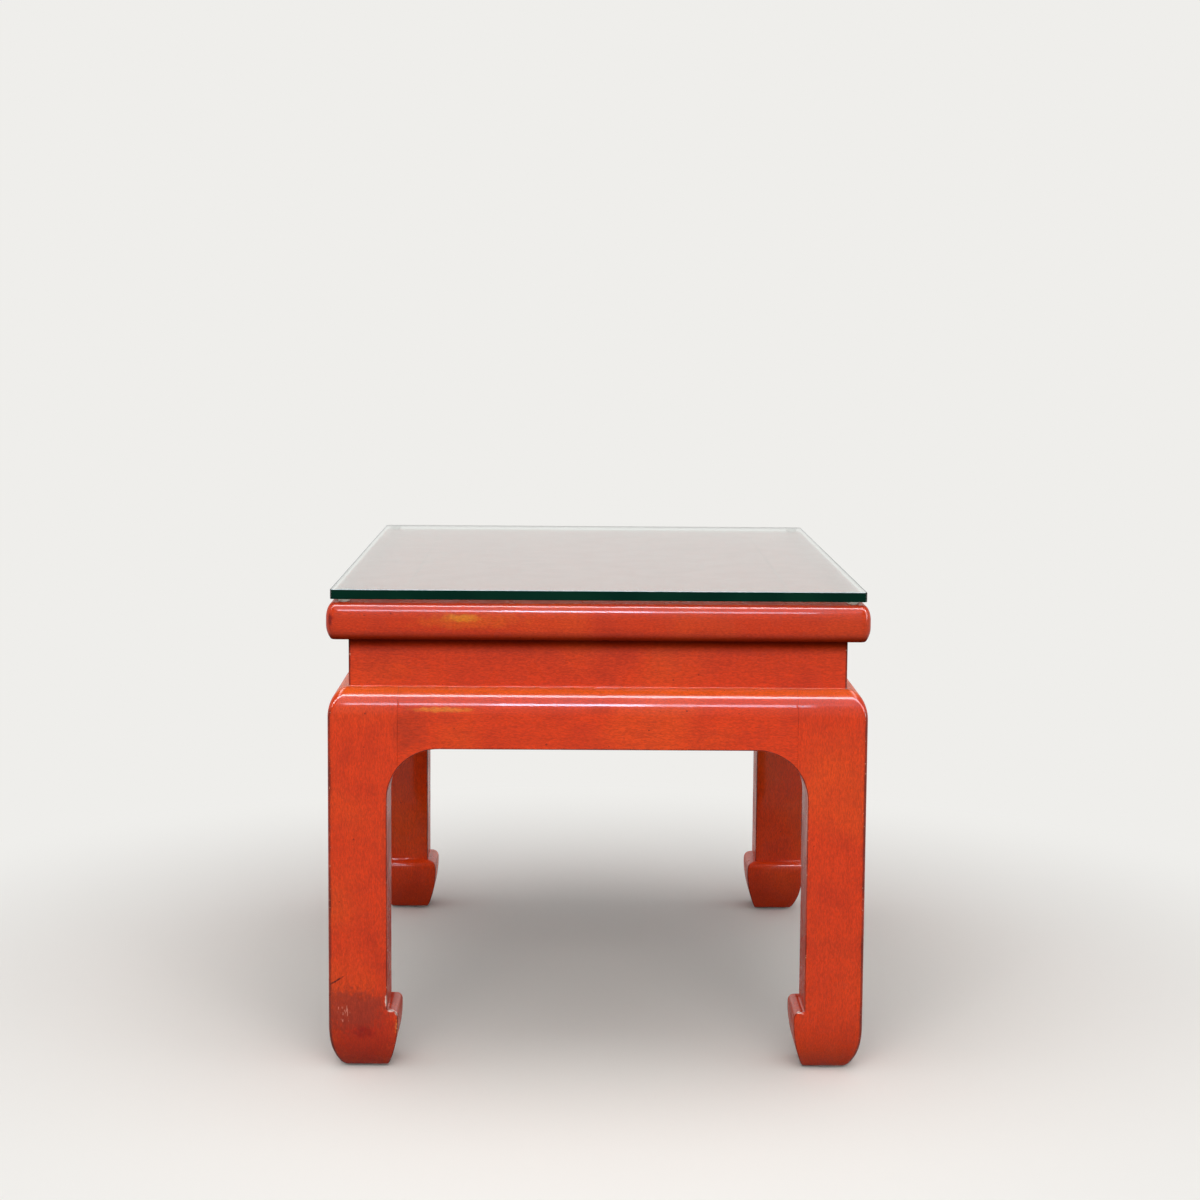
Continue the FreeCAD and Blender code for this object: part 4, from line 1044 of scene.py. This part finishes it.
def seenRays(tree):
    # 1 for what the camera sees, also by reflection or through glass, 0 for light off a dull surface
    path = addNode(tree, "ShaderNodeLightPath").outputs
    inputs = [path["Is Camera Ray"], path["Is Glossy Ray"]]
    seen = addNode(tree, "ShaderNodeMath", inputs, operation="MAXIMUM")
    seen = addNode(tree, "ShaderNodeMath", [seen, path["Is Transmission Ray"]], operation="MAXIMUM")
    return addNode(tree, "ShaderNodeMath", [seen, path["Diffuse Depth"]], operation="GREATER_THAN")


def makeFloor():
    # dull pale paint round the table, which fades into the backdrop
    reach = stageLook["reach"]
    mesh = bpy.data.meshes.new("floor")
    mesh.from_pydata([(x * reach, y * reach, 0) for x, y in plateCorners], [], [(0, 1, 2, 3)])
    floor = addObject("floor", mesh)
    material = bpy.data.materials.new("paleFloor")
    tree = emptyTree(material)
    place = addNode(tree, "ShaderNodeTexCoord").outputs["Object"]
    away = addNode(tree, "ShaderNodeVectorMath", [place], operation="LENGTH")
    paint = addNode(tree, "ShaderNodeBsdfDiffuse", {"Color": stageLook["floor"]})
    glow = addNode(tree, "ShaderNodeEmission", {"Color": stageLook["background"], "Strength": 1.0})
    seen = seenRays(tree)
    fade = addNode(tree, "ShaderNodeMapRange", [away, *stageLook["fade"]], **smooth)
    share = addNode(tree, "ShaderNodeMath", [fade, seen], operation="MULTIPLY")
    look = addNode(tree, "ShaderNodeMixShader", [share, paint, glow])
    dim = addNode(tree, "ShaderNodeBsdfDiffuse", {"Color": stageLook["bounce"]})
    final = addNode(tree, "ShaderNodeMixShader", [seen, dim, look])
    addNode(tree, "ShaderNodeOutputMaterial", {"Surface": final})
    mesh.materials.append(material)
    return floor


def makeWorld():
    world = bpy.data.worlds.new("studio")
    bpy.context.scene.world = world
    tree = emptyTree(world)
    towards = addNode(tree, "ShaderNodeTexCoord").outputs["Generated"]
    height = addNode(tree, "ShaderNodeSeparateXYZ", [towards]).outputs["Z"]
    level = addNode(tree, "ShaderNodeMapRange", [height, *skyLook["sky"]], **smooth)
    ambient = addNode(tree, "ShaderNodeBackground", {"Color": (1, 1, 1, 1), "Strength": level})
    # what gloss and glass mirror: the pale room at eye level, a dimmer ceiling above it
    mirrored = addNode(tree, "ShaderNodeLightPath").outputs["Is Glossy Ray"]
    ceiling = addNode(tree, "ShaderNodeMapRange", [height, *skyLook["ceiling"]], **smooth)
    room = addNode(tree, "ShaderNodeMapRange", [mirrored, 0.0, 1.0, 1.0, ceiling], **smooth)
    backdrop = addNode(tree, "ShaderNodeBackground", {"Color": stageLook["background"], "Strength": room})
    mixed = addNode(tree, "ShaderNodeMixShader", [seenRays(tree), ambient, backdrop])
    addNode(tree, "ShaderNodeOutputWorld", {"Surface": mixed})


def makeLight(name, quarter, onGloss, lit=None):
    place, size, power, colour = lampLook[name]
    place = Vector(place)
    lamp = bpy.data.lights.new(camelName(name + "_" + sideNames[quarter]), "AREA")
    lamp.shape = "RECTANGLE"
    lamp.size, lamp.size_y = size
    lamp.energy = power
    lamp.color = linear(colour)[:3]
    light = addObject(lamp.name, lamp)
    aim = (Vector(lampAim) - place).to_track_quat("-Z", "Y").to_matrix().to_4x4()
    light.matrix_world = Matrix.Rotation(quarter * pi / 2, 4, "Z") @ Matrix.Translation(place) @ aim
    light.visible_camera = False
    light.visible_transmission = False
    light.visible_diffuse = not onGloss
    light.visible_glossy = onGloss
    light.light_linking.receiver_collection = lit
    if onGloss:
        # no second-hand light from these
        tree = emptyTree(lamp)
        bounced = addNode(tree, "ShaderNodeLightPath").outputs["Diffuse Depth"]
        direct = addNode(tree, "ShaderNodeMath", [bounced, 0.5], operation="LESS_THAN")
        glow = addNode(tree, "ShaderNodeEmission", {"Strength": direct})
        addNode(tree, "ShaderNodeOutputLight", {"Surface": glow})


def litPieces(name, pieces, state):
    # the pieces that alone take a lamp's light, or that alone do not
    lit = bpy.data.collections.new(name)
    for piece in pieces:
        lit.objects.link(piece)
    for item in lit.collection_objects:
        item.light_linking.link_state = state
    return lit


def makeLights(floor):
    makeLight("softbox", 0, False)
    topAndFloor = litPieces("topAndFloor", [panel, bumpers, floor, *topMembers], "INCLUDE")
    makeLight("overhead", 0, False, topAndFloor)
    noFloor = litPieces("noFloor", [floor], "EXCLUDE")
    for quarter in otherQuarters:
        makeLight("fill", quarter, False, noFloor)
    # the glass mirrors the pale room and not the lamps
    noGlass = litPieces("noGlass", [glass], "EXCLUDE")
    for name in ("strip", "panel", "panelWide", "sheen", "window"):
        makeLight(name, 0, True, noGlass)
    for quarter in otherQuarters:
        makeLight("sideStrip", quarter, True, noGlass)


cameraLook = {"place": (-0.02474, -2.70943, 0.77603), "yaw": -0.6213, "down": 5.9799, "roll": 0.4262,
              "lens": 70.645, "sensor": 36, "shift": -0.035}


def makeCamera():
    look = cameraLook
    data = bpy.data.cameras.new("camera")
    data.sensor_width = look["sensor"]
    data.lens = look["lens"]
    data.shift_y = look["shift"]
    camera = addObject("camera", data)
    stand = Matrix.Translation(look["place"])
    for angle, axis in ((look["yaw"], "Z"), (90 - look["down"], "X"), (look["roll"], "Z")):
        stand = stand @ Matrix.Rotation(radians(angle), 4, axis)
    camera.matrix_world = stand
    bpy.context.scene.camera = camera


makeWorld()
makeLights(makeFloor())
makeCamera()
bpy.context.scene.view_settings.view_transform = "Standard"
print("stage, light and camera set")
